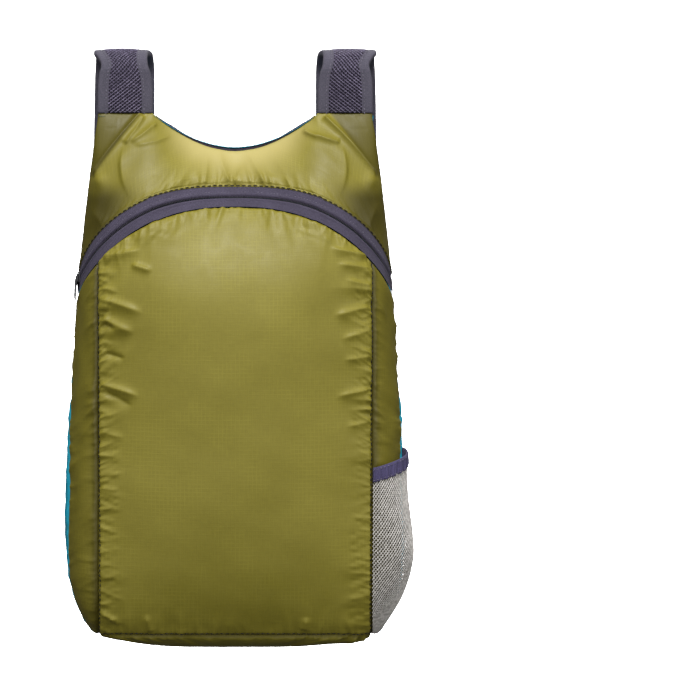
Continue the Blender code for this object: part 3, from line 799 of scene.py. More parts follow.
def flat_size(cloth):
    """The width, length and area that a panel was cut to, measured on the smooth body."""
    points = cloth.points
    corner_lines = points[1:, 1:] - points[:-1, :-1], points[1:, :-1] - points[:-1, 1:]
    area = np.linalg.norm(np.cross(*corner_lines), axis=-1).sum() / 2
    return (float(np.ptp(cloth.across)), float(cloth.up.max())), float(area)


# Rows of stitches, tubes and nets are made by node groups with named inputs.


def node_group(name, inputs):
    """A geometry node group with a geometry input and output, and named inputs for its sizes."""
    group = bpy.data.node_groups.new(name, "GeometryNodeTree")
    group.interface.new_socket("Geometry", in_out="INPUT", socket_type="NodeSocketGeometry")
    for label, kind, default in inputs:
        socket = group.interface.new_socket(label, in_out="INPUT", socket_type=kind)
        if default is not None:
            socket.default_value = default
    group.interface.new_socket("Geometry", in_out="OUTPUT", socket_type="NodeSocketGeometry")
    start = add_node(group, "NodeGroupInput")
    end = add_node(group, "NodeGroupOutput")
    return group, start, end


def end_group(group, geometry, material, end):
    """Ends a group: its instances are made real, shaded smooth and given their material."""
    real = add_node(group, "GeometryNodeRealizeInstances", {"Geometry": geometry})
    smooth = add_node(group, "GeometryNodeSetShadeSmooth", {"Geometry": real.outputs[0]})
    dressed = {"Geometry": smooth.outputs[0], "Material": material}
    finished = add_node(group, "GeometryNodeSetMaterial", dressed)
    group.links.new(finished.outputs[0], end.inputs["Geometry"])
    return group


def stitch_group():
    """Short rounded threads set end to end along curves, with a gap between them."""
    inputs = (
        ("Pitch", "NodeSocketFloat", 0.0034),
        ("Length", "NodeSocketFloat", 0.0026),
        ("Thickness", "NodeSocketFloat", 0.0005),
        ("Material", "NodeSocketMaterial", None),
    )
    group, start, end = node_group("row of stitches", inputs)
    sizes = start.outputs
    spaced = {"Curve": sizes["Geometry"], "Length": sizes["Pitch"]}
    places = add_node(group, "GeometryNodeCurveToPoints", spaced, mode="LENGTH")
    thread = add_node(group, "GeometryNodeMeshUVSphere", {"Segments": 6, "Rings": 5, "Radius": 0.5})
    across = {"X": sizes["Thickness"], "Y": sizes["Thickness"], "Z": sizes["Length"]}
    size = add_node(group, "ShaderNodeCombineXYZ", across)
    scaled = {"Geometry": thread.outputs["Mesh"], "Scale": size.outputs[0]}
    shaped = add_node(group, "GeometryNodeTransform", scaled)
    laid = {
        "Points": places.outputs["Points"],
        "Instance": shaped.outputs[0],
        "Rotation": places.outputs["Rotation"],
    }
    row = add_node(group, "GeometryNodeInstanceOnPoints", laid)
    return end_group(group, row.outputs[0], sizes["Material"], end)


def tube_group():
    """A round yarn or wire along every curve."""
    inputs = (
        ("Thickness", "NodeSocketFloat", 0.0005),
        ("Sides", "NodeSocketInt", 5),
        ("Material", "NodeSocketMaterial", None),
    )
    group, start, end = node_group("yarn along curves", inputs)
    sizes = start.outputs
    half = maths(group, "DIVIDE", sizes["Thickness"], 2.0)
    section = {"Resolution": sizes["Sides"], "Radius": half}
    ring = add_node(group, "GeometryNodeCurvePrimitiveCircle", section)
    swept_by = {"Curve": sizes["Geometry"], "Profile Curve": ring.outputs[0], "Fill Caps": True}
    tube = add_node(group, "GeometryNodeCurveToMesh", swept_by)
    return end_group(group, tube.outputs[0], sizes["Material"], end)


def group_named(name, maker):
    """The node group of a name, made when it is first asked for."""
    return bpy.data.node_groups.get(name) or maker()


def along_lines(name, lines, group, material, nodes=(), **inputs):
    """Runs a node group along polylines and keeps the result as a plain mesh piece."""
    curve = bpy.data.curves.new(name, "CURVE")
    curve.dimensions = "3D"
    for line in lines:
        spline = curve.splines.new("POLY")
        spline.points.add(len(line) - 1)
        spline.points.foreach_set("co", np.c_[line, np.ones(len(line))].ravel().astype(np.float32))
    path = linked(name + "_path", curve)
    modifier = path.modifiers.new("run", "NODES")
    modifier.node_group = group
    inputs["Material"] = finish(material)
    for item in group.interface.items_tree:
        if item.in_out == "INPUT" and item.name in inputs:
            modifier[item.identifier] = inputs[item.name]
    bpy.context.view_layer.update()
    made = path.evaluated_get(bpy.context.evaluated_depsgraph_get())
    mesh = bpy.data.meshes.new_from_object(made)
    mesh.name = name
    bpy.data.objects.remove(path)
    bpy.data.curves.remove(curve)
    return give_finish(linked(name, mesh), material, *nodes)


def stitched(name, lines, sizes, material="light_polyester_thread", **changes):
    """Rows of stitches along lines, with the scene's sizes apart from the changes given."""
    values = {
        "Pitch": sizes.stitch_length + sizes.stitch_gap,
        "Length": sizes.stitch_length,
        "Thickness": sizes.thread,
    }
    values.update(changes)
    return along_lines(name, lines, group_named("row of stitches", stitch_group), material, **values)


def yarns(name, lines, thickness, sides, material, nodes=()):
    """A yarn or wire along each line."""
    group = group_named("yarn along curves", tube_group)
    return along_lines(name, lines, group, material, nodes, Thickness=thickness, Sides=sides)


# Materials. Those of cloth and tape read the piece's own UV map, laid out in metres along the cloth; the
# others read the piece's own space.


def shader_tree(name):
    material = bpy.data.materials.new(name)
    material.use_nodes = True
    tree = material.node_tree
    return material, tree, tree.nodes["Principled BSDF"]


def set_shader(tree, shader, **values):
    """Gives the shader's inputs their values or links, their names written with _ for spaces."""
    feed(tree, shader, {name.replace("_", " "): value for name, value in values.items()})


def cloth_ways(tree):
    """The distances across and along the cloth, in metres."""
    uv = add_node(tree, "ShaderNodeUVMap", uv_map="cloth")
    return add_node(tree, "ShaderNodeSeparateXYZ", {0: uv.outputs[0]}).outputs[:2]


def piece_uv(tree, scale):
    """The piece's UV map, scaled by the numbers given for its two ways."""
    uv = add_node(tree, "ShaderNodeUVMap", uv_map="cloth")
    mapped = add_node(tree, "ShaderNodeMapping", {"Vector": uv.outputs[0], "Scale": (*scale, 1)})
    return mapped.outputs[0]


def noise(tree, vector, scale=1.0, detail=2.0, roughness=0.5, distortion=0.0):
    inputs = {"Vector": vector, "Scale": scale, "Detail": detail}
    inputs.update(Roughness=roughness, Distortion=distortion)
    return add_node(tree, "ShaderNodeTexNoise", inputs).outputs[0]


def cloth_noise(tree, across, along, *settings):
    """Noise on the cloth, with so many changes in a metre across it and along it."""
    return noise(tree, piece_uv(tree, (across, along)), 1.0, *settings)


def solid_noise(tree, scale, detail):
    """Noise in the piece's own space, with so many changes in a metre."""
    where = add_node(tree, "ShaderNodeTexCoord").outputs["Object"]
    return noise(tree, where, scale, detail)


def maths(tree, operation, first, second=0.0, third=0.0):
    inputs = {0: first, 1: second, 2: third}
    return add_node(tree, "ShaderNodeMath", inputs, operation=operation).outputs[0]


def weighted(tree, *parts):
    """The sum of values that are each given with a weight."""
    total = None
    for value, weight in parts:
        part = maths(tree, "MULTIPLY", value, weight)
        total = part if total is None else maths(tree, "ADD", total, part)
    return total


def mixed(tree, factor, first, second):
    inputs = {0: factor, 6: first, 7: second}
    return add_node(tree, "ShaderNodeMix", inputs, data_type="RGBA").outputs[2]


def ranged(tree, value, low, high, to_low=0.0, to_high=1.0):
    inputs = {0: value, 1: low, 2: high, 3: to_low, 4: to_high}
    return add_node(tree, "ShaderNodeMapRange", inputs, interpolation_type="SMOOTHSTEP").outputs[0]


def grid_lines(tree, pitch, width):
    """1 on the lines of a square grid over the cloth and 0 between them."""
    lines = []
    for way in cloth_ways(tree):
        from_line = maths(tree, "PINGPONG", way, pitch / 2)
        lines.append(ranged(tree, from_line, width / 3, width, 1.0, 0.0))
    return maths(tree, "MAXIMUM", *lines)


def bumped(tree, shader, *layers):
    """Joins height layers, each with its depth in metres, into the shader's normal."""
    normal = None
    for height, depth in layers:
        heights = {"Height": height, "Distance": depth, "Strength": 1.0}
        if normal is not None:
            heights["Normal"] = normal
        normal = add_node(tree, "ShaderNodeBump", heights).outputs[0]
    tree.links.new(normal, shader.inputs["Normal"])


def ripstop_nylon(name, colour, light, sheen_and_painted_light, shade, sizes):
    """Coated ripstop nylon, woven of flat filament yarn: a soft sheen, a faint square grid of
    thicker threads, fine slubs both ways and a shallow crumple from having been folded small.
    The haze attribute moves it to the haze's colour above 0 and to the shade's below."""
    material, tree, shader = shader_tree(name)
    grid = grid_lines(tree, sizes.ripstop_pitch, sizes.ripstop_line)
    # Slubs are 0.8 mm across and 9 mm long, which is coarser than the yarn, so that they show.
    warp, weft = cloth_noise(tree, 1250, 110, 1.0), cloth_noise(tree, 110, 1250, 1.0)
    slubs = maths(tree, "ADD", warp, weft)
    patches = cloth_noise(tree, 22, 22, 2.0)
    # The crumple's dents are about 13 mm across.
    crumple = cloth_noise(tree, 75, 75, 3.0, 0.45, 0.6)
    shows = maths(tree, "MULTIPLY", grid, ranged(tree, patches, 0.44, 0.60, 0.05, 1.0))
    tone = weighted(tree, (slubs, 0.42), (shows, 0.26), (patches, 0.35))
    base = mixed(tree, ranged(tree, tone, 0.25, 1.15), colour, light)
    painted_light_mask = add_node(tree, "ShaderNodeAttribute", attribute_name="sheen_and_painted_light").outputs["Fac"]
    # Painted highlight and painted shade: the piece's attribute mixes in the sheen colour above 0 and
    # the shade colour below 0.
    base = mixed(tree, painted_light_mask, base, sheen_and_painted_light)
    base = mixed(tree, maths(tree, "MULTIPLY", painted_light_mask, -1.0), base, shade)
    # The crumple also makes the coating a little more or less rough.
    roughness = ranged(tree, crumple, 0.2, 0.8, 0.40, 0.52)
    set_shader(tree, shader, Base_Color=base, Roughness=roughness, Specular_IOR_Level=0.32)
    set_shader(tree, shader, Sheen_Weight=0.05, Sheen_Roughness=0.4, Sheen_Tint=sheen_and_painted_light)
    bumped(tree, shader, (crumple, 0.00009), (slubs, 0.00003), (grid, 0.00002))
    return material


def woven_tape(name, colour, light, pitch=0.0011):
    """Polyester tape in a fine twill: matt, with slanting ribs and a slightly lighter fuzz."""
    material, tree, shader = shader_tree(name)
    across, along = cloth_ways(tree)
    slant = maths(tree, "ADD", across, along)
    rib = maths(tree, "SINE", maths(tree, "MULTIPLY", slant, math.tau / pitch))
    cross = maths(tree, "SINE", maths(tree, "MULTIPLY", along, math.tau / pitch * 1.5))
    weave = weighted(tree, (rib, 0.5), (cross, 0.3))
    fuzz, patches = cloth_noise(tree, 900, 900, 2.0), cloth_noise(tree, 60, 60, 2.0)
    tone = weighted(tree, (weave, 0.22), (fuzz, 1.0), (patches, 0.5))
    base = mixed(tree, ranged(tree, tone, 0.35, 1.15), colour, light)
    set_shader(tree, shader, Base_Color=base, Roughness=0.78, Specular_IOR_Level=0.25)
    set_shader(tree, shader, Sheen_Weight=0.06, Sheen_Roughness=0.5)
    bumped(tree, shader, (weave, 0.00016), (fuzz, 0.0001))
    return material


def yarn_material(name, colour, dark):
    """Bare multifilament yarn: soft, with a tone that varies along it as its twist catches light."""
    material, tree, shader = shader_tree(name)
    # A tone changes about every 2 mm, and the twist's own noise is 0.4 mm.
    slow, fine = solid_noise(tree, 500.0, 2.0), solid_noise(tree, 2500.0, 1.0)
    base = mixed(tree, ranged(tree, slow, 0.3, 0.7), dark, colour)
    set_shader(tree, shader, Base_Color=base, Roughness=0.6, Specular_IOR_Level=0.35)
    set_shader(tree, shader, Sheen_Weight=0.04)
    bumped(tree, shader, (fine, 0.0001))
    return material


def spacer_cloth(name, colour, hollow):
    """The knitted ground of spacer net: dark, open and matt, with rows of small round holes."""
    material, tree, shader = shader_tree(name)
    # Holes are 1.7 mm apart.
    spaced = {"Vector": piece_uv(tree, (590, 590)), "Scale": 1.0, "Randomness": 0.35}
    cells = add_node(tree, "ShaderNodeTexVoronoi", spaced)
    hole = ranged(tree, cells.outputs["Distance"], 0.22, 0.42)
    fuzz = cloth_noise(tree, 1500, 1500, 2.0)
    thick = maths(tree, "MULTIPLY", hole, ranged(tree, fuzz, 0.2, 0.8, 0.6, 1.0))
    # The holes are painted darker, a painted shade for the hollow behind them.
    base = mixed(tree, thick, hollow, colour)
    set_shader(tree, shader, Base_Color=base, Roughness=0.9, Specular_IOR_Level=0.2)
    set_shader(tree, shader, Sheen_Weight=0.03)
    bumped(tree, shader, (hole, 0.0005), (fuzz, 0.0001))
    return material


def moulded_acetal(name, colour):
    """Injection-moulded acetal: near black, half matt from a fine spark-eroded grain."""
    material, tree, shader = shader_tree(name)
    # The grain is 0.3 mm, and slow streaks follow the moulding's flow.
    grain, flow = solid_noise(tree, 3300.0, 1.0), solid_noise(tree, 120.0, 3.0)
    worn = [min(channel * 2.2, 1) for channel in colour[:3]] + [1]
    base = mixed(tree, ranged(tree, flow, 0.45, 0.8), colour, worn)
    roughness = ranged(tree, grain, 0.2, 0.8, 0.38, 0.52)
    set_shader(tree, shader, Base_Color=base, Roughness=roughness)
    bumped(tree, shader, (grain, 0.00003))
    return material


def painted_floor(name, colour):
    """Matt painted studio floor: pale, with a faint roller texture."""
    material, tree, shader = shader_tree(name)
    shade = [channel * 0.97 for channel in colour[:3]] + [1]
    base = mixed(tree, solid_noise(tree, 300.0, 2.0), shade, colour)
    set_shader(tree, shader, Base_Color=base, Roughness=0.75)
    return material


# Folds that the hanging straps and the filling pull into the cloth, on the left half as seen

YOKE_FOLDS = (
    Fold((-74, 424), (-112, 372), -0.03, 3.8, 1.8, 2.5, 0.04, 0.12),
    Fold((-72, 422), (-87, 398), 0.03, 2.4, 1.6, 4.0, 0.12, 0.10),
    Fold((-87, 399), (-80, 352), -0.12, 2.6, 10.0, 1.9, 0.40, 0.55),
    Fold((-62, 417), (-83, 399), 0.06, 2.0, 1.6, 3.0, 0.20, 0.15),
    Fold((-50, 407), (-80, 397), 0.08, 1.4, 1.8, 4.0, 0.30, 0.20),
    Fold((-104, 412), (-72, 411), 0.00, -0.25, 1.2, 1.2, 0.10, 0.10),
    Fold((-118, 352), (-100, 318), 0.06, 1.6, 5.0, 7.0, 0.40, 0.50),
    Fold((-110, 340), (-88, 330), 0.05, 0.9, 4.0, 4.0, 0.40, 0.50),
)
YOKE_PUFFS = (
    Puff((-107, 370), (5, 6), 2.2),
    Puff((-62, 384), (26, 22), 1.5),
    Puff((-100, 330), (18, 24), -4.4),
    Puff((-28, 372), (26, 18), 1.2),
    Puff((-108, 300), (8, 16), 1.5),
)
# The right half's folds, where the bag's halves differ, are given with their sides mirrored.
YOKE_FOLDS_RIGHT = (
    Fold((-70, 421), (-111, 372), -0.03, 3.8, 1.8, 2.5, 0.04, 0.12),
    Fold((-53, 410), (-83, 399), 0.05, 2.4, 1.6, 4.0, 0.20, 0.10),
    Fold((-83, 400), (-79, 352), -0.12, 2.6, 10.0, 1.9, 0.40, 0.55),
    Fold((-52, 409), (-80, 399), 0.02, 1.4, 3.0, 1.6, 0.30, 0.25),
    Fold((-106, 411), (-84, 411), 0.00, -0.30, 1.2, 1.2, 0.10, 0.10),
    Fold((-116, 356), (-104, 322), 0.05, 1.8, 5.0, 6.0, 0.40, 0.50),
)

# Longer creases beside the front panel's seams
FRONT_FOLDS = (
    Fold((-104, 309), (-72, 314), -0.02, 1.6, 2.4, 3.6, 0.15, 0.35),
    Fold((-82, 303), (-64, 297), 0.00, 1.5, 2.2, 2.8, 0.30, 0.30),
    Fold((-104, 285), (-90, 281), 0.00, 0.8, 1.6, 2.2, 0.15, 0.50),
    Fold((-105, 276), (-71, 264), 0.03, 1.7, 2.4, 4.5, 0.15, 0.35),
    Fold((-104, 262), (-78, 249), -0.02, 1.8, 2.4, 4.2, 0.15, 0.35),
    Fold((-103, 257), (-93, 251), 0.05, -0.9, 1.8, 1.8, 0.20, 0.40),
    Fold((-103, 234), (-86, 229), 0.00, -1.1, 2.0, 2.2, 0.15, 0.30),
    Fold((-105, 209), (-74, 199), 0.03, 1.5, 2.2, 3.6, 0.12, 0.40),
    Fold((-104, 204), (-80, 191), 0.02, -1.0, 2.6, 3.0, 0.20, 0.35),
    Fold((-105, 172), (-86, 167), 0.00, 0.7, 2.4, 3.2, 0.15, 0.50),
    Fold((-105, 128), (-90, 126), 0.00, 0.6, 2.2, 3.2, 0.15, 0.50),
    Fold((104, 310), (72, 316), 0.02, 1.6, 3.6, 2.4, 0.15, 0.35),
    Fold((104, 299), (78, 303), -0.02, 1.2, 3.2, 2.2, 0.15, 0.35),
    Fold((105, 286), (84, 291), 0.00, 1.0, 3.0, 2.2, 0.15, 0.40),
    Fold((105, 270), (76, 262), -0.02, 1.5, 4.0, 2.4, 0.15, 0.35),
    Fold((105, 252), (82, 244), 0.00, 1.1, 3.2, 2.2, 0.15, 0.40),
    Fold((105, 231), (84, 228), 0.00, 0.9, 3.0, 2.2, 0.15, 0.40),
    Fold((105, 205), (78, 199), -0.02, 1.1, 3.4, 2.2, 0.15, 0.40),
    Fold((105, 180), (86, 176), 0.00, 0.7, 3.0, 2.4, 0.15, 0.40),
    Fold((-105, 30), (-92, 22), 0.05, 1.2, 2.4, 2.4, 0.20, 0.40),
    Fold((56, 28), (54, 16), 0.00, 1.0, 2.6, 2.6, 0.40, 0.20),
    Fold((-70, 30), (-66, 15), 0.00, 0.9, 2.4, 2.4, 0.40, 0.15),
)
# Rows of short puckers on those seams: the seam's side, from and to what height, the seed, and the
# pitch, greatest length and rise, all in millimetres
FRONT_PUCKERS = (
    (-107.5, 236, 308, 71, 4.6, 13, 0.5),
    (-108, 172, 232, 72, 6.5, 11, 0.4),
    (107.5, 238, 302, 73, 5.6, 12, 0.42),
)
FRONT_PUFFS = (
    Puff((-52, 326), (18, 8), 1.3),
    Puff((-12, 334), (16, 10), 1.2),
    Puff((30, 332), (18, 10), 1.4),
    Puff((62, 322), (14, 9), 1.1),
    Puff((-20, 250), (60, 60), 1.5),
    Puff((0, 120), (80, 70), 2.0),
)

BACK_PUFFS = (
    Puff((112, 378), (12, 12), 1.2),
    Puff((106, 428), (8, 9), 2.6),
    Puff((116, 352), (12, 10), 1.0),
)

# Gathers along each seam: place along the seam and share of the full rise
LEFT_SEAM_GATHERS = (
    *((0, 0.5), (0.3, 0.45), (0.45, 0.8), (0.56, 1.2)),
    *((0.64, 0.9), (0.74, 1.5), (0.88, 1.8), (1, 1.3)),
)
BACK_SEAM_GATHERS = ((0, 0.4), (0.5, 0.5), (1, 0.45))
RIGHT_SEAM_GATHERS = ((0, 0.45), (0.45, 0.5), (0.6, 0.9), (0.8, 1.2), (0.9, 1.3), (1, 1.2))
UNDER_ZIP_GATHERS = ((0, 0.5), (0.2, 0.6), (0.35, 1.0), (0.6, 1.2), (0.8, 0.9), (1, 0.5))
OVER_ZIP_GATHERS = ((0, 0.2), (0.3, 0.25), (0.42, 0.9), (0.5, 1.3), (0.58, 0.8), (0.75, 0.35), (1, 0.2))
NECK_GATHERS = ((0, 0.9), (0.2, 0.9), (0.3, 0.2), (0.7, 0.2), (0.8, 0.9), (1, 0.9))
BOTTOM_GATHERS = ((0, 0.8), (0.15, 0.4), (0.3, 0.9), (0.5, 0.35), (0.75, 0.5), (1, 0.8))
SIDE_GATHERS = ((0, 0.5), (0.4, 0.3), (0.6, 0.8), (0.8, 0.5), (1, 0.7))


def cloth_piece(node, cloth, sizes, tone=None, material="coated_ripstop_olive"):
    """Turns a finished panel into a mesh piece that stands for its solid, declared as a cut sheet."""
    points, along = turned_in(cloth, sizes.allowance)
    obj = grid_object(f"{node}_cloth", points, along)
    # The tone is painted light: above 0 a painted highlight, below 0 a painted shade.
    layer = obj.data.attributes.new("sheen_and_painted_light", "FLOAT", "POINT")
    if tone is not None:
        layer.data.foreach_set("value", np.pad(tone, 1, mode="edge").ravel().astype(np.float32))
    give_finish(obj, material, node)


def make_front(sizes):
    cloth = panel_cloth(front_place, *FRONT_GRID)
    cloth.cut = flat_size(cloth)
    full = puff_relief(cloth, FRONT_PUFFS)
    full = full + swell(cloth, seed=3, rise=0.0009, shortest=0.03, longest=0.11)
    cloth.raise_by(full * edge_fade(cloth, 0.012) * sizes.fold_share)
    cloth.measure()
    excess = 0.6 * (1 - ease(cloth.nearest("left", "right", "high") / 0.034))
    settle(cloth, 5, excess, pressure=1.2, step=4)
    drawn_up = sum((puckers(*row) for row in FRONT_PUCKERS), ())
    fine = fold_relief(cloth, FRONT_FOLDS + drawn_up) * sizes.fold_share * 2.1
    seams = (
        ("left", 11, LEFT_SEAM_GATHERS, -0.22),
        ("right", 12, RIGHT_SEAM_GATHERS, -0.12),
        ("high", 13, UNDER_ZIP_GATHERS, 0.0),
        ("low", 14, BOTTOM_GATHERS, 0.0),
    )
    for edge, seed, strength, slant in seams:
        fine += gathers(cloth, edge, seed, strength, slant) * sizes.gather_share
    # The stitches hold the cloth down, so that no pucker stands up high at a seam.
    most = blend(0.0014, 0.0050, ease(cloth.nearest("left", "right") / 0.007))
    fine = most * np.tanh(fine / most)
    fine += edge_tuck(cloth, 0.0016, 0.0016)
    cloth.raise_by(fine)
    cloth_piece("front_panel", cloth, sizes)
    edges = ("left", "right", "low")
    lines = [inset_line(cloth, edge, sizes.stitch_inset, sizes.thread / 3) for edge in edges]
    stitched("front_panel_stitching", lines, sizes, "polyester_thread")


def make_yoke(sizes):
    cloth = panel_cloth(yoke_place, *YOKE_GRID)
    rounded(cloth, times=260, margin=0.014)
    cloth.cut = flat_size(cloth)
    inner = 1.0
    for edge, width in (("low", 0.010), ("left", 0.012), ("right", 0.012), ("high", 0.003)):
        inner = inner * ease(cloth.away[edge] / width)
    left = fold_relief(cloth, YOKE_FOLDS) + puff_relief(cloth, YOKE_PUFFS)
    right = fold_relief(cloth, YOKE_FOLDS_RIGHT, True) + puff_relief(cloth, YOKE_PUFFS, True)
    uneven = swell(cloth, seed=23, rise=0.0006, shortest=0.02, longest=0.07)
    big = np.where(cloth.side < 0, left, right) + uneven
    cloth.raise_by(big * inner * sizes.fold_share)
    cloth.measure()
    fine = gathers(cloth, "low", 31, OVER_ZIP_GATHERS) * sizes.gather_share
    fine += gathers(cloth, "high", 32, NECK_GATHERS) * 0.15
    fine += edge_tuck(cloth, 0.0014, 0.0016, ("left", "right"))
    # The lower edge is folded over the zip's tape and stitched down, so it ends in a crisp lip.
    fine += 0.0003 - 0.0005 * np.exp(-(((cloth.away["low"] - 0.0022) / 0.0009) ** 2))
    cloth.raise_by(fine)
    # Painted highlight: the cloth is painted beige where its slack under the neck would catch the light
    # flat on.
    neck = np.exp(-((cloth.away["high"] / 0.025) ** 2))
    neck = neck * ease((0.070 - np.abs(cloth.side - 0.002)) / 0.036)
    # Painted shade: it is painted darker beside the strap's base, in the slack hollow under the pull
    # fold, which faces down, and a little on the shoulders beside the neck.
    side, height = -np.abs(cloth.side) / MM, cloth.height / MM
    beside = (side + 74) * -0.81 + (height - 424) * 0.59
    strap_base_shade = ease(beside / 3) * ease((height - 366) / 12)
    hollow = np.exp(-(((side + 106) / 26) ** 2)) * ease((372 - height) / 18)
    shoulder = np.exp(-(((side + 78) / 24) ** 2) - ((height - 388) / 24) ** 2)
    tone = neck * 0.85 - 0.65 * strap_base_shade - 0.92 * hollow - 0.24 * shoulder
    cloth_piece("yoke_panel", cloth, sizes, tone)
    line = inset_line(cloth, "low", 0.0005, sizes.thread / 3)
    stitched("yoke_stitching", [line], sizes, "polyester_thread", Length=0.0034, Pitch=0.0046)


def make_sides(sizes):
    for hand, mirror, seed in (("left", True, 41), ("right", False, 51)):
        cloth = panel_cloth(side_place, *SIDE_GRID, mirror)
        cloth.cut = flat_size(cloth)
        uneven = swell(cloth, seed, rise=0.0008, shortest=0.02, longest=0.07)
        cloth.raise_by(uneven * edge_fade(cloth, 0.006))
        front, back = ("right", "left") if mirror else ("left", "right")
        fine = gathers(cloth, front, seed + 1, SIDE_GATHERS, 0.1) * 0.8
        fine += gathers(cloth, back, seed + 2, SIDE_GATHERS) * 0.8
        fine += gathers(cloth, "low", seed + 3, BOTTOM_GATHERS) * 0.8
        # The edge beside the front panel's seam stands up as a fold.
        lip = np.exp(-(((cloth.away[front] - 0.0022) / 0.0013) ** 2)) * 0.00012
        fine += lip + edge_tuck(cloth, 0.0014, 0.0013)
        cloth.raise_by(fine * sizes.gather_share)
        # Painted shade: the side panels are painted darker all over, more so close to the front's seam,
        # and most behind the pocket's net.
        tone = -0.25 - 0.60 * np.exp(-((cloth.away[front] / 0.0045) ** 2))
        if hand == "right":
            tone = np.where(cloth.height < POCKET_FRONT_HEIGHT, -0.95, tone)
        cloth_piece(f"side_panel_{hand}", cloth, sizes, tone)


def make_back(sizes):
    cloth = panel_cloth(back_place, *BACK_GRID)
    cloth.cut = flat_size(cloth)
    uneven = swell(cloth, seed=61, rise=0.0010, shortest=0.03, longest=0.12)
    cloth.raise_by(uneven * edge_fade(cloth, 0.012))
    cloth.measure()
    # On the right its slack stands out past the yoke, where it is seen from the front.
    cloth.raise_by(puff_relief(cloth, BACK_PUFFS))
    excess = 0.8 * (1 - ease(cloth.nearest("left", "right", "low") / 0.05))
    settle(cloth, 7, excess, pressure=0.8, cap=0.003)
    fine = gathers(cloth, "left", 62, BACK_SEAM_GATHERS, -0.15)
    fine += gathers(cloth, "right", 63, BACK_SEAM_GATHERS, -0.15)
    fine += gathers(cloth, "low", 64, BOTTOM_GATHERS)
    cloth.raise_by(fine * sizes.gather_share + edge_tuck(cloth, 0.0014, 0.0016))
    cloth_piece("back_panel", cloth, sizes, material="coated_ripstop_turquoise")


def bottom_points(u, v):
    quarter, way = np.divmod(np.minimum(u * 4, 4 - 1e-9), 1)
    angle = (quarter + even_share(way)) * QUARTER - math.pi
    shrink = 1 - v**1.6
    rim = smooth_point(angle, np.full(np.shape(angle), BOTTOM_SAG))
    middle = np.zeros(rim.shape)
    middle[..., 1] = seam_y(BOTTOM_SAG) - (FRONT_DEPTH - BACK_DEPTH) / 3
    middle[..., 2] = rim[..., 2]
    rim = rim - unit(rim - middle) * (0.0015 + SEAM_GAP * 2)
    points = blend(middle, rim, shrink[..., None])
    points[..., 2] = blend(BOTTOM_Z, rim[..., 2], shrink**3.5)
    return points


def make_bottom(sizes):
    """The bottom: rings round a middle, the first and last column of each meeting behind."""
    u, v = grid_shares(*BOTTOM_GRID)
    points = bottom_points(u, v)
    out = unit(np.cross(np.gradient(points, axis=1), np.gradient(points, axis=0)))
    cloth = Cloth(points, out if out[20, 100, 2] < 0 else -out)
    fine = gathers(cloth, "low", 71, ((0, 0.6), (0.5, 1.0), (1, 0.6)))
    fine += edge_tuck(cloth, 0.0012, 0.0018, ("low",))
    fine *= 1 - ease((v - 0.6) / 0.3)
    cloth.raise_by(fine * sizes.gather_share)
    points = cloth.points
    points[:, -1] = points[:, 0]
    points[-1] = points[-1].mean(axis=0)
    rim = points[:1] - cloth.out[:1] * 0.002
    rim[..., 2] += sizes.allowance
    flat = [np.pad(points[..., axis], ((1, 0), (0, 0)), mode="edge") for axis in (0, 1)]
    obj = grid_object("bottom_panel_cloth", np.concatenate([rim, points]), flat)
    close_seam(obj, closed=False)
    give_finish(obj, "coated_ripstop_olive", "bottom_panel")


# The zip


def zip_grid(low, high, columns, rows):
    """Points and directions on the zip's band between two distances from its middle line."""
    u, v = grid_shares(columns, rows)
    offset = blend(low, high, v)
    ends = [zip_angle_where(lambda a, h: a >= seam_turn(h), each) for each in (low, high)]
    end = blend(*ends, v)
    angle = QUARTER - even_turn(2 * u - 1) * (QUARTER - end)
    place, height = zip_place(angle, offset)
    return smooth_point(place, height), outward(place, height)


def make_zip(sizes):
    half_groove, edge = 0.0006, ZIP_HALF_WIDTH + SEAM_GAP
    for label, low, high in (("upper", half_groove, edge), ("lower", -edge, -half_groove)):
        points, out = zip_grid(low, high, 420, 12)
        across, up = cloth_scale(points)
        share = up / up[-1:]
        inward = share if label == "upper" else 1 - share
        # The tape rolls down into the groove and bulges a little over the coil's edge.
        relief = -0.0014 * np.exp(-((inward / 0.07) ** 2))
        relief = relief + 0.0005 * np.exp(-(((inward - 0.20) / 0.10) ** 2))
        relief = relief + 0.00015 * np.sin(across / 0.0071) * np.sin(inward * 3)
        points = points + out * (relief - 0.0002)[..., None]
        obj = grid_object(f"zip_tape_{label}_cloth", points, (across, up))
        give_finish(obj, "woven_polyester_tape", f"zip_tape_{label}")
        if label == "upper":
            line = (points + out * 0.0001)[5]
            lengths = {"Length": 0.0014, "Pitch": 0.0026, "Thickness": 0.0004}
            stitched("zip_tape_stitching", [line], sizes, **lengths)
    # The coil lies in the groove behind the tapes' edges: a helix of fine wire.
    points, out = zip_grid(-0.0008, 0.0008, 6000, 2)
    middle = points[1]
    across = unit(points[2] - points[0])
    run = run_along(middle)
    turn = run / sizes.coil_pitch * math.tau
    kept = (run > 0.012) & (run < run[-1] - 0.012)
    helix = middle + across * (0.0010 * np.cos(turn))[:, None]
    helix = helix + out[1] * (0.0006 * np.sin(turn) - 0.0011)[:, None]
    # Nine points make a turn of the coil.
    step = max(1, int(len(helix) / (run[-1] / sizes.coil_pitch * 9)))
    yarns("zip_coil_wire", [helix[kept][::step]], 0.0006, 5, "nylon_coil", ["zip_coil"])
    make_slider()


def zip_matrix(angle):
    """The place on the zip at an angle, turned along the zip, across it and out of it."""
    height = zip_height(angle)
    along, out = unit(zip_way(angle)), outward(angle, height)
    matrix = np.eye(4)
    columns = (along, unit(np.cross(out, along)), out, smooth_point(angle, height))
    matrix[:3] = np.stack(columns, axis=-1)
    return Matrix(matrix.tolist())


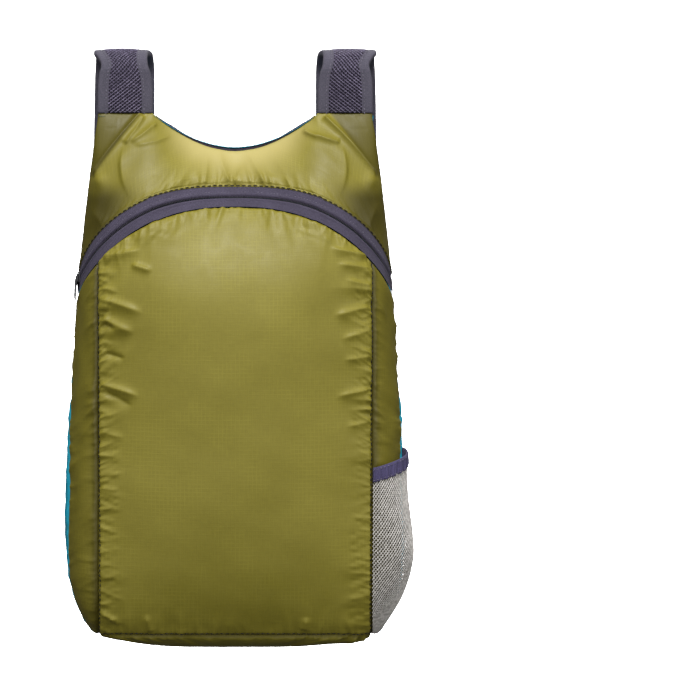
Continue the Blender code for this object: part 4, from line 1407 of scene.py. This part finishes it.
def block(mesh, size, place, bevel, taper=1.0):
    """Adds a box with rounded edges to a mesh, narrower at its far end by a taper."""
    made = bmesh.ops.create_cube(mesh, size=1)["verts"]
    bmesh.ops.scale(mesh, vec=size, verts=made)
    for vert in made:
        if vert.co.y > 0:
            vert.co.x *= taper
    bmesh.ops.translate(mesh, vec=place, verts=made)
    edges = {edge for vert in made for edge in vert.link_edges}
    bmesh.ops.bevel(mesh, geom=list(edges), offset=bevel, segments=3, affect="EDGES", profile=0.6)


def mesh_piece(name, mesh, node):
    """Turns a mesh of rounded blocks into a moulded piece that stands for its solid."""
    data = bpy.data.meshes.new(name)
    mesh.to_mesh(data)
    mesh.free()
    data.shade_smooth()
    give_finish(linked(name, data), "moulded_acetal_black", node)


def make_slider():
    """The slider: two plates and a neck, a bridge over them and a tapered pull hanging from it."""
    mesh = bmesh.new()
    # Each block's size, place, bevel and taper
    blocks = (
        ((0.0110, 0.0085, 0.0009), (0, 0, 0.0005), 0.0004, 0.8),
        ((0.0105, 0.0080, 0.0009), (0, 0, 0.0018), 0.0004, 0.8),
        ((0.0035, 0.0030, 0.0012), (0, -0.0018, 0.0012), 0.0003, 1.0),
        ((0.0022, 0.0060, 0.0008), (0, 0, 0.0026), 0.0003, 1.0),
        ((0.0060, 0.0200, 0.0011), (0, 0.0090, 0.0028), 0.0005, 0.75),
        ((0.0038, 0.0090, 0.0005), (0, 0.0110, 0.0034), 0.0002, 0.8),
    )
    for size, place, bevel, taper in blocks:
        block(mesh, size, place, bevel, taper)
    bmesh.ops.transform(mesh, matrix=zip_matrix(math.pi - math.radians(9)), verts=mesh.verts)
    mesh_piece("zip_slider_moulding", mesh, "zip_slider")


def make_piping(sizes):
    """The cord-filled piping on the neck's edge."""
    half = HALF_NECK - 0.0022
    side = np.linspace(-half, half, 120)
    top = top_height(side)
    slope = np.gradient(top, side)
    up = unit(np.stack([-slope, np.zeros(len(side)), np.ones(len(side))], axis=-1))
    edge = np.stack([side, seam_y(top) - EDGE_OFFSET + 0.00075, top + BOTTOM_Z], axis=-1)
    # Towards its ends it thins out and sinks onto the cloth's edge.
    ends = blend(0.4, 1, ease((half - np.abs(side)) / 0.014))
    line = edge + up * (0.0014 * ends - 0.0003)[:, None]
    turn = np.linspace(0, math.tau, 17)[None, :, None]
    radius = 0.0011 * ends * (1 + 0.05 * np.sin(side / 0.0021) + 0.04 * np.sin(side / 0.0057))
    ring = np.cos(turn) * np.array((0, 1, 0)) + np.sin(turn) * up[:, None]
    points = line[:, None] + radius[:, None, None] * ring
    obj = grid_object("neck_piping_tape", points[:, ::-1])
    close_seam(obj)
    give_finish(obj, "woven_polyester_tape", "neck_piping")


def close_seam(obj, closed=True):
    """Merges the doubled line of a tube, fills its ends and turns its faces out.

    What isn't closed has no ends to fill, and its lowest face is turned down.
    """
    mesh = bmesh.new()
    mesh.from_mesh(obj.data)
    bmesh.ops.remove_doubles(mesh, verts=mesh.verts, dist=1e-6)
    if closed:
        bmesh.ops.holes_fill(mesh, edges=[edge for edge in mesh.edges if edge.is_boundary])
    bmesh.ops.recalc_face_normals(mesh, faces=mesh.faces)
    lowest = min(mesh.faces, key=lambda face: face.calc_center_median().z)
    if not closed and lowest.normal.z > 0:
        bmesh.ops.reverse_faces(mesh, faces=mesh.faces)
    mesh.to_mesh(obj.data)
    mesh.free()
    obj.data.shade_smooth()


# The shoulder straps


def strap_line(share, hand=1):
    """The strap's middle line at shares of its run: up from its base, over the crown and down."""
    step = np.asarray(share, float) * STRAP_STEPS
    base_side = (HALF_NECK + side_of(seam_turn(BODY_HEIGHT), BODY_HEIGHT)) / 2
    crown_z = STRAP_THICKNESS / 2 - CROWN_HEIGHT
    base_z = BODY_HEIGHT + BOTTOM_Z + SEAT_GAP
    turn = math.pi * np.clip((step - 2) / 8, 0, 1)
    y = -HALF_LOOP * np.cos(turn)
    z = blend(base_z, crown_z, np.clip(step / 2, 0, 1)) + CROWN_HEIGHT * np.sin(turn)
    end_z = STRAP_END_HEIGHT + BOTTOM_Z
    drop = (crown_z - end_z) / 3
    t = np.clip((step - 10) / 13, 0, 1)
    far = (1 - t) ** 3, 3 * t * (1 - t) ** 2, 3 * t * t * (1 - t), t**3
    down_y = dot(np.stack(far, -1), (HALF_LOOP, HALF_LOOP + STRAP_BOW / 5, STRAP_BOW, STRAP_BOW))
    down_z = dot(np.stack(far, -1), (crown_z, crown_z - drop, end_z + drop, end_z))
    y, z = np.where(step > 10, down_y, y), np.where(step > 10, down_z, z)
    splay = smooth_rows(STRAP_SECTIONS, np.asarray(share, float))[1]
    return np.stack([hand * (base_side + STRAP_SPLAY * splay), y, z], axis=-1)


def strap_frame(share, hand=1):
    """The strap's middle line, its way across and its way out of its outer face."""
    step = 1e-3
    line = strap_line(share, hand)
    ahead = strap_line(np.minimum(share + step, 1), hand)
    along = unit(ahead - strap_line(np.maximum(share - step, 0), hand))
    across = np.broadcast_to((float(hand), 0.0, 0.0), line.shape)
    return line, across, unit(np.cross((1.0, 0.0, 0.0), along))


def strap_half_width(share):
    return STRAP_WIDTH * smooth_rows(STRAP_SECTIONS, np.asarray(share, float))[0] / 2


def ring_section(sides, power):
    """A closed round-cornered section, 1 wide and 1 deep to each side of its middle."""
    turn = np.linspace(0, math.tau, sides + 1)
    return (
        np.sign(np.cos(turn)) * np.abs(np.cos(turn)) ** (2 / power),
        np.sign(np.sin(turn)) * np.abs(np.sin(turn)) ** (2 / power),
    )


def swept(name, share, low, high, depth, sides, power, hand, relief):
    """A closed body along the strap, between two distances across it, and its UV map."""
    line, across, out = strap_frame(share, hand)
    wide, deep = ring_section(sides, power)
    middle, half = (low + high) / 2, (high - low) / 2
    side = middle[:, None] + half[:, None] * wide
    rise = depth / 2 * deep + relief(wide, deep, share)
    points = line[:, None] + across[:, None] * side[..., None] + out[:, None] * rise[..., None]
    up = np.broadcast_to(run_along(line)[:, None], side.shape)
    round_way = run_along(np.stack([half[0] * wide, depth / 2 * deep], axis=-1))
    obj = grid_object(name, points, (np.broadcast_to(round_way, side.shape), up))
    close_seam(obj)
    return obj


def make_straps(sizes):
    for hand, way in (("left", -1), ("right", 1)):
        make_strap(f"strap_{hand}", way, sizes)


def make_strap(name, hand, sizes):
    share = np.linspace(0, 1, 260)
    half = strap_half_width(share)
    pad_half = half - BINDING_WIDTH * 0.8
    rng = np.random.default_rng(7 + hand)
    soft = rng.uniform(0, math.tau, 4)

    def crown(wide, deep, share):
        """The pad's faces stand up a little in their middle, and are quilted by handling."""
        wave = sum(np.sin(share * 60 * (n + 1) + soft[n]) / (n + 2) for n in range(4))[:, None]
        return np.sign(deep) * (1 - wide**2) * (0.0007 + 0.00025 * wave)

    pad = swept(name + "_pad_net", share, -pad_half, pad_half, STRAP_THICKNESS, 44, 5, hand, crown)
    give_finish(pad, "knitted_spacer_net", f"{name}_pad")

    def fold_edge(inner):
        def relief(wide, deep, share):
            # The binding's folded inner edge stands up as a small bead, and its outer edge is round.
            near = np.exp(-(((wide * inner - 0.72) / 0.16) ** 2))
            valley = np.exp(-(((wide * inner - 0.30) / 0.20) ** 2))
            return np.sign(deep) * (0.00055 * near - 0.00035 * valley)

        return relief

    inside = BINDING_WIDTH - half
    for edge, low, high, inner in (("outer", -inside, half, -1), ("inner", -half, inside, 1)):
        label = f"{name}_binding_{edge}"
        thickness, relief = BINDING_THICKNESS, fold_edge(inner)
        tape = swept(label + "_tape", share, low, high, thickness, 32, 3.4, hand, relief)
        give_finish(tape, "woven_polyester_grey", label)
    line, across, out = strap_frame(share, hand)
    rows = []
    for face in (1, -1):
        lift = out * (BINDING_THICKNESS / 2 + 0.0002) * face
        for sign in (1, -1):
            inset = sign * (half - BINDING_WIDTH * 0.72)
            rows.append(line + across * inset[:, None] + lift)
    stitched(name + "_stitching", rows, sizes, Length=0.0019, Pitch=0.0030, Thickness=0.0005)
    strap_net(name + "_strands", hand, sizes)
    make_webbing(name, hand)
    make_buckle(name, hand)


def strap_net(name, hand, sizes):
    """The open diamonds of the pad's net, on both its faces: a piece for each way they lean."""
    shares = strap_shares()
    length = shares[0][-1]
    width = (STRAP_WIDTH / 2 - BINDING_WIDTH) * 1.1
    ways = (("rising", 1, 0.5, 0.25), ("falling", -1, 1.0, 0.45))
    for label, lean, thickness, lift in ways:
        lines = []
        for face in (1, -1):
            for start in np.arange(-0.06, length + 0.06, sizes.strap_net_pitch):
                side = np.linspace(-1, 1, 15)
                run = start + (side * width * lean + width) * STRAND_SLOPE
                kept = (run > 0.0002) & (run < length - 0.003)
                if kept.sum() < 3:
                    continue
                share = np.interp(run[kept], *shares)
                line, across, out = strap_frame(share, hand)
                reach = side[kept] * (strap_half_width(share) - BINDING_WIDTH * 0.9)
                rise = STRAP_THICKNESS / 2 + 0.0007 * (1 - side[kept] ** 2) + sizes.strap_yarn * lift
                lines.append(line + across * reach[:, None] + out * (rise * face)[:, None])
        yarns(f"{name}_{label}", lines, sizes.strap_yarn * thickness, 3, "raised_net_strand")


def strap_shares():
    """Distances along the strap, and the shares of its run that they stand for."""
    share = np.linspace(0, 1, 400)
    return run_along(strap_line(share)), share


def make_webbing(name, hand):
    """The webbing from the buckle to the side seam, with a rib along each of its cords."""
    start = strap_line(1.0, hand) - (0, 0, BUCKLE_LENGTH + BUCKLE_GAP * 2)
    turn, height = math.radians(-42), 0.060
    mirror = np.array((hand, 1, 1))
    out = outward(turn, height) * mirror
    end = smooth_point(turn, height) * mirror + out * (WEBBING_THICKNESS / 2 + SEAT_GAP * 2)
    drop = (start[2] - end[2]) / 3
    leave = start + (0, 0, -drop)
    arrive = end + (-drop / 6 * hand, drop / 3, drop * 1.1)
    t = np.linspace(0, 1, 90)[:, None]
    line = start * (1 - t) ** 3 + 3 * leave * t * (1 - t) ** 2
    line = line + 3 * arrive * t * t * (1 - t) + end * t**3
    along = unit(np.gradient(line, axis=0))
    facing = unit(blend(np.array((0.0, 1.0, 0.0)), out, ease(t)))
    across = unit(np.cross(facing, along))
    facing = unit(np.cross(along, across))
    wide, deep = ring_section(56, 8)
    ribs = 1 + 0.22 * np.cos(wide * math.pi * 9) * (np.abs(deep) > 0.5)
    section = across[:, None] * (WEBBING_WIDTH / 2 * wide)[:, None]
    section = section + facing[:, None] * (WEBBING_THICKNESS / 2 * 0.85 * deep * ribs)[:, None]
    points = line[:, None] + section
    steps = np.diff([wide * WEBBING_WIDTH / 2, deep * WEBBING_THICKNESS / 2], prepend=0, axis=1)
    around = np.broadcast_to(np.cumsum(np.hypot(*steps)), points.shape[:2])
    run = np.broadcast_to(run_along(line)[:, None], points.shape[:2])
    obj = grid_object(name + "_webbing_tape", points, (around, run))
    close_seam(obj)
    give_finish(obj, "woven_polyester_tape", f"{name}_webbing")


def make_buckle(name, hand):
    """A ladder buckle: two rounded side rails and three rounded bars."""
    end = strap_line(1.0, hand) - (0, 0, BUCKLE_GAP)
    mesh = bmesh.new()
    for side in (1, -1):
        place = (side * (BUCKLE_WIDTH - BUCKLE_BAR) / 2, 0, -BUCKLE_LENGTH / 2)
        block(mesh, (BUCKLE_BAR, BUCKLE_THICKNESS, BUCKLE_LENGTH), place, BUCKLE_BEVEL)
    for number in range(3):
        depth = -BUCKLE_BAR / 2 - number * (BUCKLE_LENGTH - BUCKLE_BAR) / 2
        bar = (BUCKLE_WIDTH - 0.002, BUCKLE_THICKNESS * 0.9, BUCKLE_BAR)
        block(mesh, bar, (0, 0, depth), BUCKLE_BEVEL)
    bmesh.ops.translate(mesh, vec=end.tolist(), verts=mesh.verts)
    mesh_piece(name + "_buckle_moulding", mesh, f"{name}_buckle")


# The net pocket on the right side


def pocket_top(u):
    return blend(POCKET_FRONT_HEIGHT, POCKET_BACK_HEIGHT, u)


def pocket_surface(u, height, lift=0.0):
    angle = blend(angle_of(HALF_PANEL, height), seam_turn(height), u)
    rise = ease((height - BOTTOM_SAG) / (POCKET_FRONT_HEIGHT / 2))
    gather = ease(height / POCKET_FRONT_HEIGHT * 2 - 1)
    bulge = np.sin(math.pi * np.clip(u, 0, 1)) ** 0.7 * rise * blend(1, POCKET_MOUTH_SHARE, gather)
    stand_off = SEAM_GAP + POCKET_STAND_OFF * bulge + lift
    return smooth_point(angle, height) + outward(angle, height) * np.asarray(stand_off)[..., None]


def make_pocket(sizes):
    """The pocket's net, as three layers of slanting yarns, and the binding on its mouth."""
    low = BOTTOM_SAG + SEAM_GAP + POCKET_NET
    # The yarns cross each other at right angles, so they start further apart than a mesh is wide.
    pitch = sizes.pocket_net_pitch * 1.414
    # Its rear is drawn together, so more of its yarns lie there.
    layers = (
        ("rising", 1, 1.0, -0.02, 0),
        ("falling", -1, 0.65, -0.02, 0),
        ("rear", -1, 1.3, 0.60, 0.5),
    )
    for layer, lean, thickness, first, shift in layers:
        lines = []
        for start in np.arange(-YARN_CLIMB, 0.16, pitch) + pitch * shift:
            u = np.linspace(first, 1, 44)
            height = low + start + (u if lean > 0 else 1 - u) * YARN_CLIMB
            kept = (height > low) & (height < pocket_top(u) - POCKET_BINDING * 0.9)
            if kept.sum() < 3:
                continue
            lines.append(pocket_surface(u[kept], height[kept], POCKET_NET / 2 + 0.00015 * lean))
        thickness = sizes.pocket_yarn * thickness
        yarns("pocket_net_" + layer, lines, thickness, 4, "knitted_net_yarn", ["pocket_net"])
    u = np.linspace(-0.02, 1, 200)
    top = pocket_top(u)
    wave = 0.0009 * np.sin(u * 47) + 0.0006 * np.sin(u * 113 + 1)
    rows = []
    for wide, deep in zip(*ring_section(24, 3.2)):
        height = top - POCKET_BINDING / 2 + wide * POCKET_BINDING / 2
        lift = POCKET_BINDING_THICKNESS / 2 * (1 + deep) + wave * (0.5 - 0.5 * wide) * 0.8
        rows.append(pocket_surface(u, height, np.maximum(lift, 0)))
    obj = grid_object("pocket_binding_tape", np.stack(rows, axis=1)[:, ::-1])
    close_seam(obj)
    give_finish(obj, "woven_polyester_violet", "pocket_binding")
    rows = []
    for share, lift in ((0.86, 0.0003), (0.14, 0.0001)):
        rows.append(pocket_surface(u, top - POCKET_BINDING * share, POCKET_BINDING_THICKNESS + lift))
    stitched("pocket_stitching", rows, sizes, Length=0.0018, Pitch=0.0029, Thickness=0.0005)


# The studio


def make_stage(colours):
    """A pale floor that curves up into a backdrop, soft lights, and the camera in front."""
    make_floor(colours)
    make_lights()
    # The room is bright above and in front and dim behind, so the bag's sides fall off into shade.
    scene = bpy.context.scene
    world = scene.world = bpy.data.worlds.new("white_room")
    world.use_nodes = True
    tree = world.node_tree
    way = add_node(tree, "ShaderNodeTexCoord").outputs["Generated"]
    facing = add_node(tree, "ShaderNodeVectorMath", {0: way, 1: BRIGHT_WAY}, operation="DOT_PRODUCT")
    strength = ranged(tree, facing.outputs["Value"], 0.1, 1.0, *ROOM_STRENGTHS)
    feed(tree, tree.nodes["Background"], {"Strength": strength, "Color": (1, 1, 1, 1)})
    scene.view_settings.view_transform = "Standard"
    data = bpy.data.cameras.new("front")
    data.sensor_width = 36
    data.lens = data.sensor_width * CAMERA_DISTANCE / VIEW_WIDTH
    data.shift_x = VIEW_SHIFT
    camera = scene.camera = linked("front_camera", data)
    camera.location = (0, -CAMERA_DISTANCE, VIEW_MIDDLE_Z)
    camera.rotation_euler = (math.pi / 2, 0, 0)


def make_floor(colours):
    """The floor, which turns up into a wall behind the bag."""
    rows = [(y, FLOOR_Z) for y in np.linspace(FLOOR_FRONT, WALL_Y - WALL_CURVE, 16)]
    for turn in np.linspace(0, math.pi / 2, 16):
        y = WALL_Y - WALL_CURVE + math.sin(turn) * WALL_CURVE
        rows.append((y, FLOOR_Z + (1 - math.cos(turn)) * WALL_CURVE))
    rows += [(WALL_Y, z) for z in np.linspace(FLOOR_Z + WALL_CURVE + 0.2, WALL_TOP, 6)]
    side = np.linspace(-HALF_FLOOR, HALF_FLOOR, 14)
    floor = grid_object("studio_floor", np.array([[(x, y, z) for x in side] for y, z in rows]))
    floor.data.materials.append(painted_floor("painted_floor", tuple(colours.floor)))
    floor.visible_diffuse = floor.visible_glossy = False


def make_lights():
    """Soft square lights, each with its place, what it faces, its width and its power."""
    lights = (
        ("above_front", (0.0, -1.25, 1.8), (0, -0.05, -0.25), 1.2, 44),
        ("left_window", (-2.0, -1.2, 0.4), (0, 0, -0.25), 1.0, 1.5),
        ("right_window", (2.0, -1.1, 0.3), (0, 0, -0.25), 1.0, 5.0),
        ("behind", (0.3, 2.0, 1.0), (0, 0, -0.25), 1.2, 30),
        ("backdrop", (0.0, WALL_Y - 2.0, 2.2), (0, WALL_Y - 0.3, -0.3), 2.4, 130),
    )
    for name, place, aim, size, power in lights:
        data = bpy.data.lights.new(name, "AREA")
        data.shape = "SQUARE"
        data.size = size
        data.energy = power
        if name == "backdrop":
            # It is shaded, so that it lights the backdrop and not the bag.
            data.spread = math.radians(75)
        lamp = linked(name, data)
        lamp.location = place
        lamp.rotation_euler = (Vector(aim) - Vector(place)).to_track_quat("-Z", "Y").to_euler()


# Sizes and colours that a user would change


def size_property(name, description, default):
    kind = {"min": 0, "precision": 5, "subtype": "DISTANCE", "unit": "LENGTH"}
    return bpy.props.FloatProperty(name=name, description=description, default=default, **kind)


def share_property(name, description, default):
    kind = {"min": 0, "subtype": "FACTOR"}
    return bpy.props.FloatProperty(name=name, description=description, default=default, **kind)


def colour_property(name, description, hex_colour):
    kind = {"default": linear(hex_colour), "size": 4, "min": 0, "max": 1, "subtype": "COLOR"}
    return bpy.props.FloatVectorProperty(name=name, description=description, **kind)


class DaypackSizes(bpy.types.PropertyGroup):
    """Sizes of the cloth's folds, the stitches and the nets."""

    fold_share: share_property("Folds", "How strong the large folds and the fullness are", 1.0)
    gather_share: share_property("Gathers", "How strong the small gathers at the seams are", 1.0)
    allowance: size_property("Seam allowance", "How far the panels' edges turn in at a seam", 0.004)
    stitch_length: size_property("Stitch length", "Length of one topstitch", 0.0028)
    stitch_gap: size_property("Stitch gap", "Gap between two topstitches", 0.0012)
    stitch_inset: size_property("Stitch inset", "Distance from a seam to its topstitching", 0.0021)
    thread: size_property("Thread", "Thickness of the sewing thread", 0.0009)
    ripstop_pitch: size_property("Ripstop pitch", "Distance between the cloth's thicker threads", 0.0033)
    ripstop_line: size_property("Ripstop line", "Width of a thicker thread's line", 0.0004)
    coil_pitch: size_property("Coil pitch", "Distance between two turns of the zip's coil", 0.0013)
    strap_net_pitch: size_property("Strap net pitch", "Width of a diamond of the straps' net", 0.0028)
    strap_yarn: size_property("Strap net strand", "Thickness of a strand of the straps' net", 0.0008)
    pocket_net_pitch: size_property("Pocket net pitch", "Width of a mesh of the pocket's net", 0.0023)
    pocket_yarn: size_property("Pocket net yarn", "Thickness of the pocket net's yarn", 0.0009)


class DaypackColours(bpy.types.PropertyGroup):
    """Colours of the cloths, tapes, nets, thread and floor."""

    olive: colour_property("Olive", "The body's nylon", "#7a7124")
    olive_light: colour_property("Light olive", "The body's nylon where its yarn is lit", "#8b822f")
    # Besides tinting the coating's sheen, this colour is painted into the cloth as a painted highlight.
    sheen_and_painted_light: colour_property("Haze", "The coating's sheen, seen along the cloth", "#b8aa6a")
    turquoise: colour_property("Turquoise", "The back panel's nylon", "#1b9dba")
    turquoise_light: colour_property("Light turquoise", "Its lighter yarn", "#2fb6d0")
    slate: colour_property("Slate", "Tapes and bindings", "#383342")
    slate_light: colour_property("Light slate", "Worn ribs of the tapes", "#504a5e")
    # Painted shade: the colour that the cloth's shaded places are painted towards.
    olive_shade: colour_property("Shaded olive", "The cloth pulled flat or in a hollow", "#3f390c")
    grey: colour_property("Grey", "The straps' bindings", "#42404b")
    grey_light: colour_property("Light grey", "Worn ribs of those bindings", "#605c6a")
    violet: colour_property("Violet slate", "The pocket's binding", "#3f3a58")
    violet_light: colour_property("Light violet slate", "Worn ribs of that binding", "#565077")
    net_ground: colour_property("Net ground", "The ground of the straps' net", "#2f2a38")
    net_hole: colour_property("Net holes", "The holes of the straps' net", "#15121b")
    strand: colour_property("Net strand", "The raised strands of the straps' net", "#857c96")
    strand_dark: colour_property("Dark strand", "Their shaded side", "#524b60")
    net_white: colour_property("White net", "The pocket's net", "#dedad5")
    net_grey: colour_property("Grey net", "Its shaded yarn", "#aeaaa4")
    plastic: colour_property("Black plastic", "Buckles and slider", "#17171b")
    coil: colour_property("Coil", "The zip's coil", "#23212a")
    thread_dark: colour_property("Thread", "Topstitching on the body", "#1e1a10")
    thread_light: colour_property("Light thread", "Stitching on the tapes", "#8b8494")
    floor: colour_property("Floor", "The studio's floor and backdrop", "#f6f6f5")


def finish(name):
    """The material of a name, made when it is first asked for."""
    made = bpy.data.materials.get(name)
    if made:
        return made
    sizes, c = bpy.context.scene.daypack_sizes, bpy.context.scene.daypack_colours
    turquoise = (c.turquoise, c.turquoise_light, c.turquoise_light, c.turquoise)
    kinds = {
        "coated_ripstop_olive": (ripstop_nylon, c.olive, c.olive_light, c.sheen_and_painted_light, c.olive_shade, sizes),
        "coated_ripstop_turquoise": (ripstop_nylon, *turquoise, sizes),
        "woven_polyester_tape": (woven_tape, c.slate, c.slate_light),
        "woven_polyester_grey": (woven_tape, c.grey, c.grey_light),
        "woven_polyester_violet": (woven_tape, c.violet, c.violet_light),
        "knitted_spacer_net": (spacer_cloth, c.net_ground, c.net_hole),
        "moulded_acetal_black": (moulded_acetal, c.plastic),
        "raised_net_strand": (yarn_material, c.strand, c.strand_dark),
        "knitted_net_yarn": (yarn_material, c.net_white, c.net_grey),
        "nylon_coil": (yarn_material, c.coil, c.coil),
        "polyester_thread": (yarn_material, c.thread_dark, c.thread_dark),
        "light_polyester_thread": (yarn_material, c.thread_light, c.slate_light),
    }
    make, *values = kinds[name]
    return make(name, *values)


# One operator for each piece or group of like pieces


def piece_operator(name, label, doc, make):
    """An operator that makes a piece from the scene's sizes."""

    def execute(self, context):
        make(context.scene.daypack_sizes)
        return {"FINISHED"}

    parts = {"bl_idname": f"daypack.{name}", "bl_label": label, "__doc__": doc, "execute": execute}
    return type("DAYPACK_OT_" + name, (bpy.types.Operator,), parts)


OPERATORS = (
    piece_operator("front_panel", "Front Panel", "Makes the gathered front panel", make_front),
    piece_operator("yoke", "Yoke", "Makes the yoke above the zip with its pull folds", make_yoke),
    piece_operator("side_panels", "Side Panels", "Makes the two side panels", make_sides),
    piece_operator("back_panel", "Back Panel", "Makes the turquoise back panel", make_back),
    piece_operator("bottom", "Bottom", "Makes the bottom panel", make_bottom),
    piece_operator("zip", "Zip", "Makes the zip's tapes, coil and slider", make_zip),
    piece_operator("neck_piping", "Neck Piping", "Makes the piping on the neck's edge", make_piping),
    piece_operator("straps", "Straps", "Makes both shoulder straps", make_straps),
    piece_operator("pocket", "Net Pocket", "Makes the side pocket's net and binding", make_pocket),
)


class DAYPACK_OT_stage(bpy.types.Operator):
    """Makes the floor, the lights and the camera"""

    bl_idname = "daypack.stage"
    bl_label = "Studio"

    def execute(self, context):
        make_stage(context.scene.daypack_colours)
        return {"FINISHED"}


class DAYPACK_PT_pieces(bpy.types.Panel):
    """Lists the daypack's sizes, colours and pieces"""

    bl_label = "Daypack"
    bl_space_type = "VIEW_3D"
    bl_region_type = "UI"
    bl_category = "Daypack"

    def draw(self, context):
        for group in (context.scene.daypack_sizes, context.scene.daypack_colours):
            for name in group.__annotations__:
                self.layout.prop(group, name)
        for operator in (*OPERATORS, DAYPACK_OT_stage):
            self.layout.operator(operator.bl_idname)


CLASSES = (DaypackSizes, DaypackColours, *OPERATORS, DAYPACK_OT_stage, DAYPACK_PT_pieces)


def register():
    for each in CLASSES:
        bpy.utils.register_class(each)
    bpy.types.Scene.daypack_sizes = bpy.props.PointerProperty(type=DaypackSizes)
    bpy.types.Scene.daypack_colours = bpy.props.PointerProperty(type=DaypackColours)


def unregister():
    del bpy.types.Scene.daypack_colours
    del bpy.types.Scene.daypack_sizes
    for each in reversed(CLASSES):
        bpy.utils.unregister_class(each)


def main():
    register()
    for operator in (*OPERATORS, DAYPACK_OT_stage):
        group, name = operator.bl_idname.split(".")
        getattr(getattr(bpy.ops, group), name)()


if __name__ == "__main__":
    main()
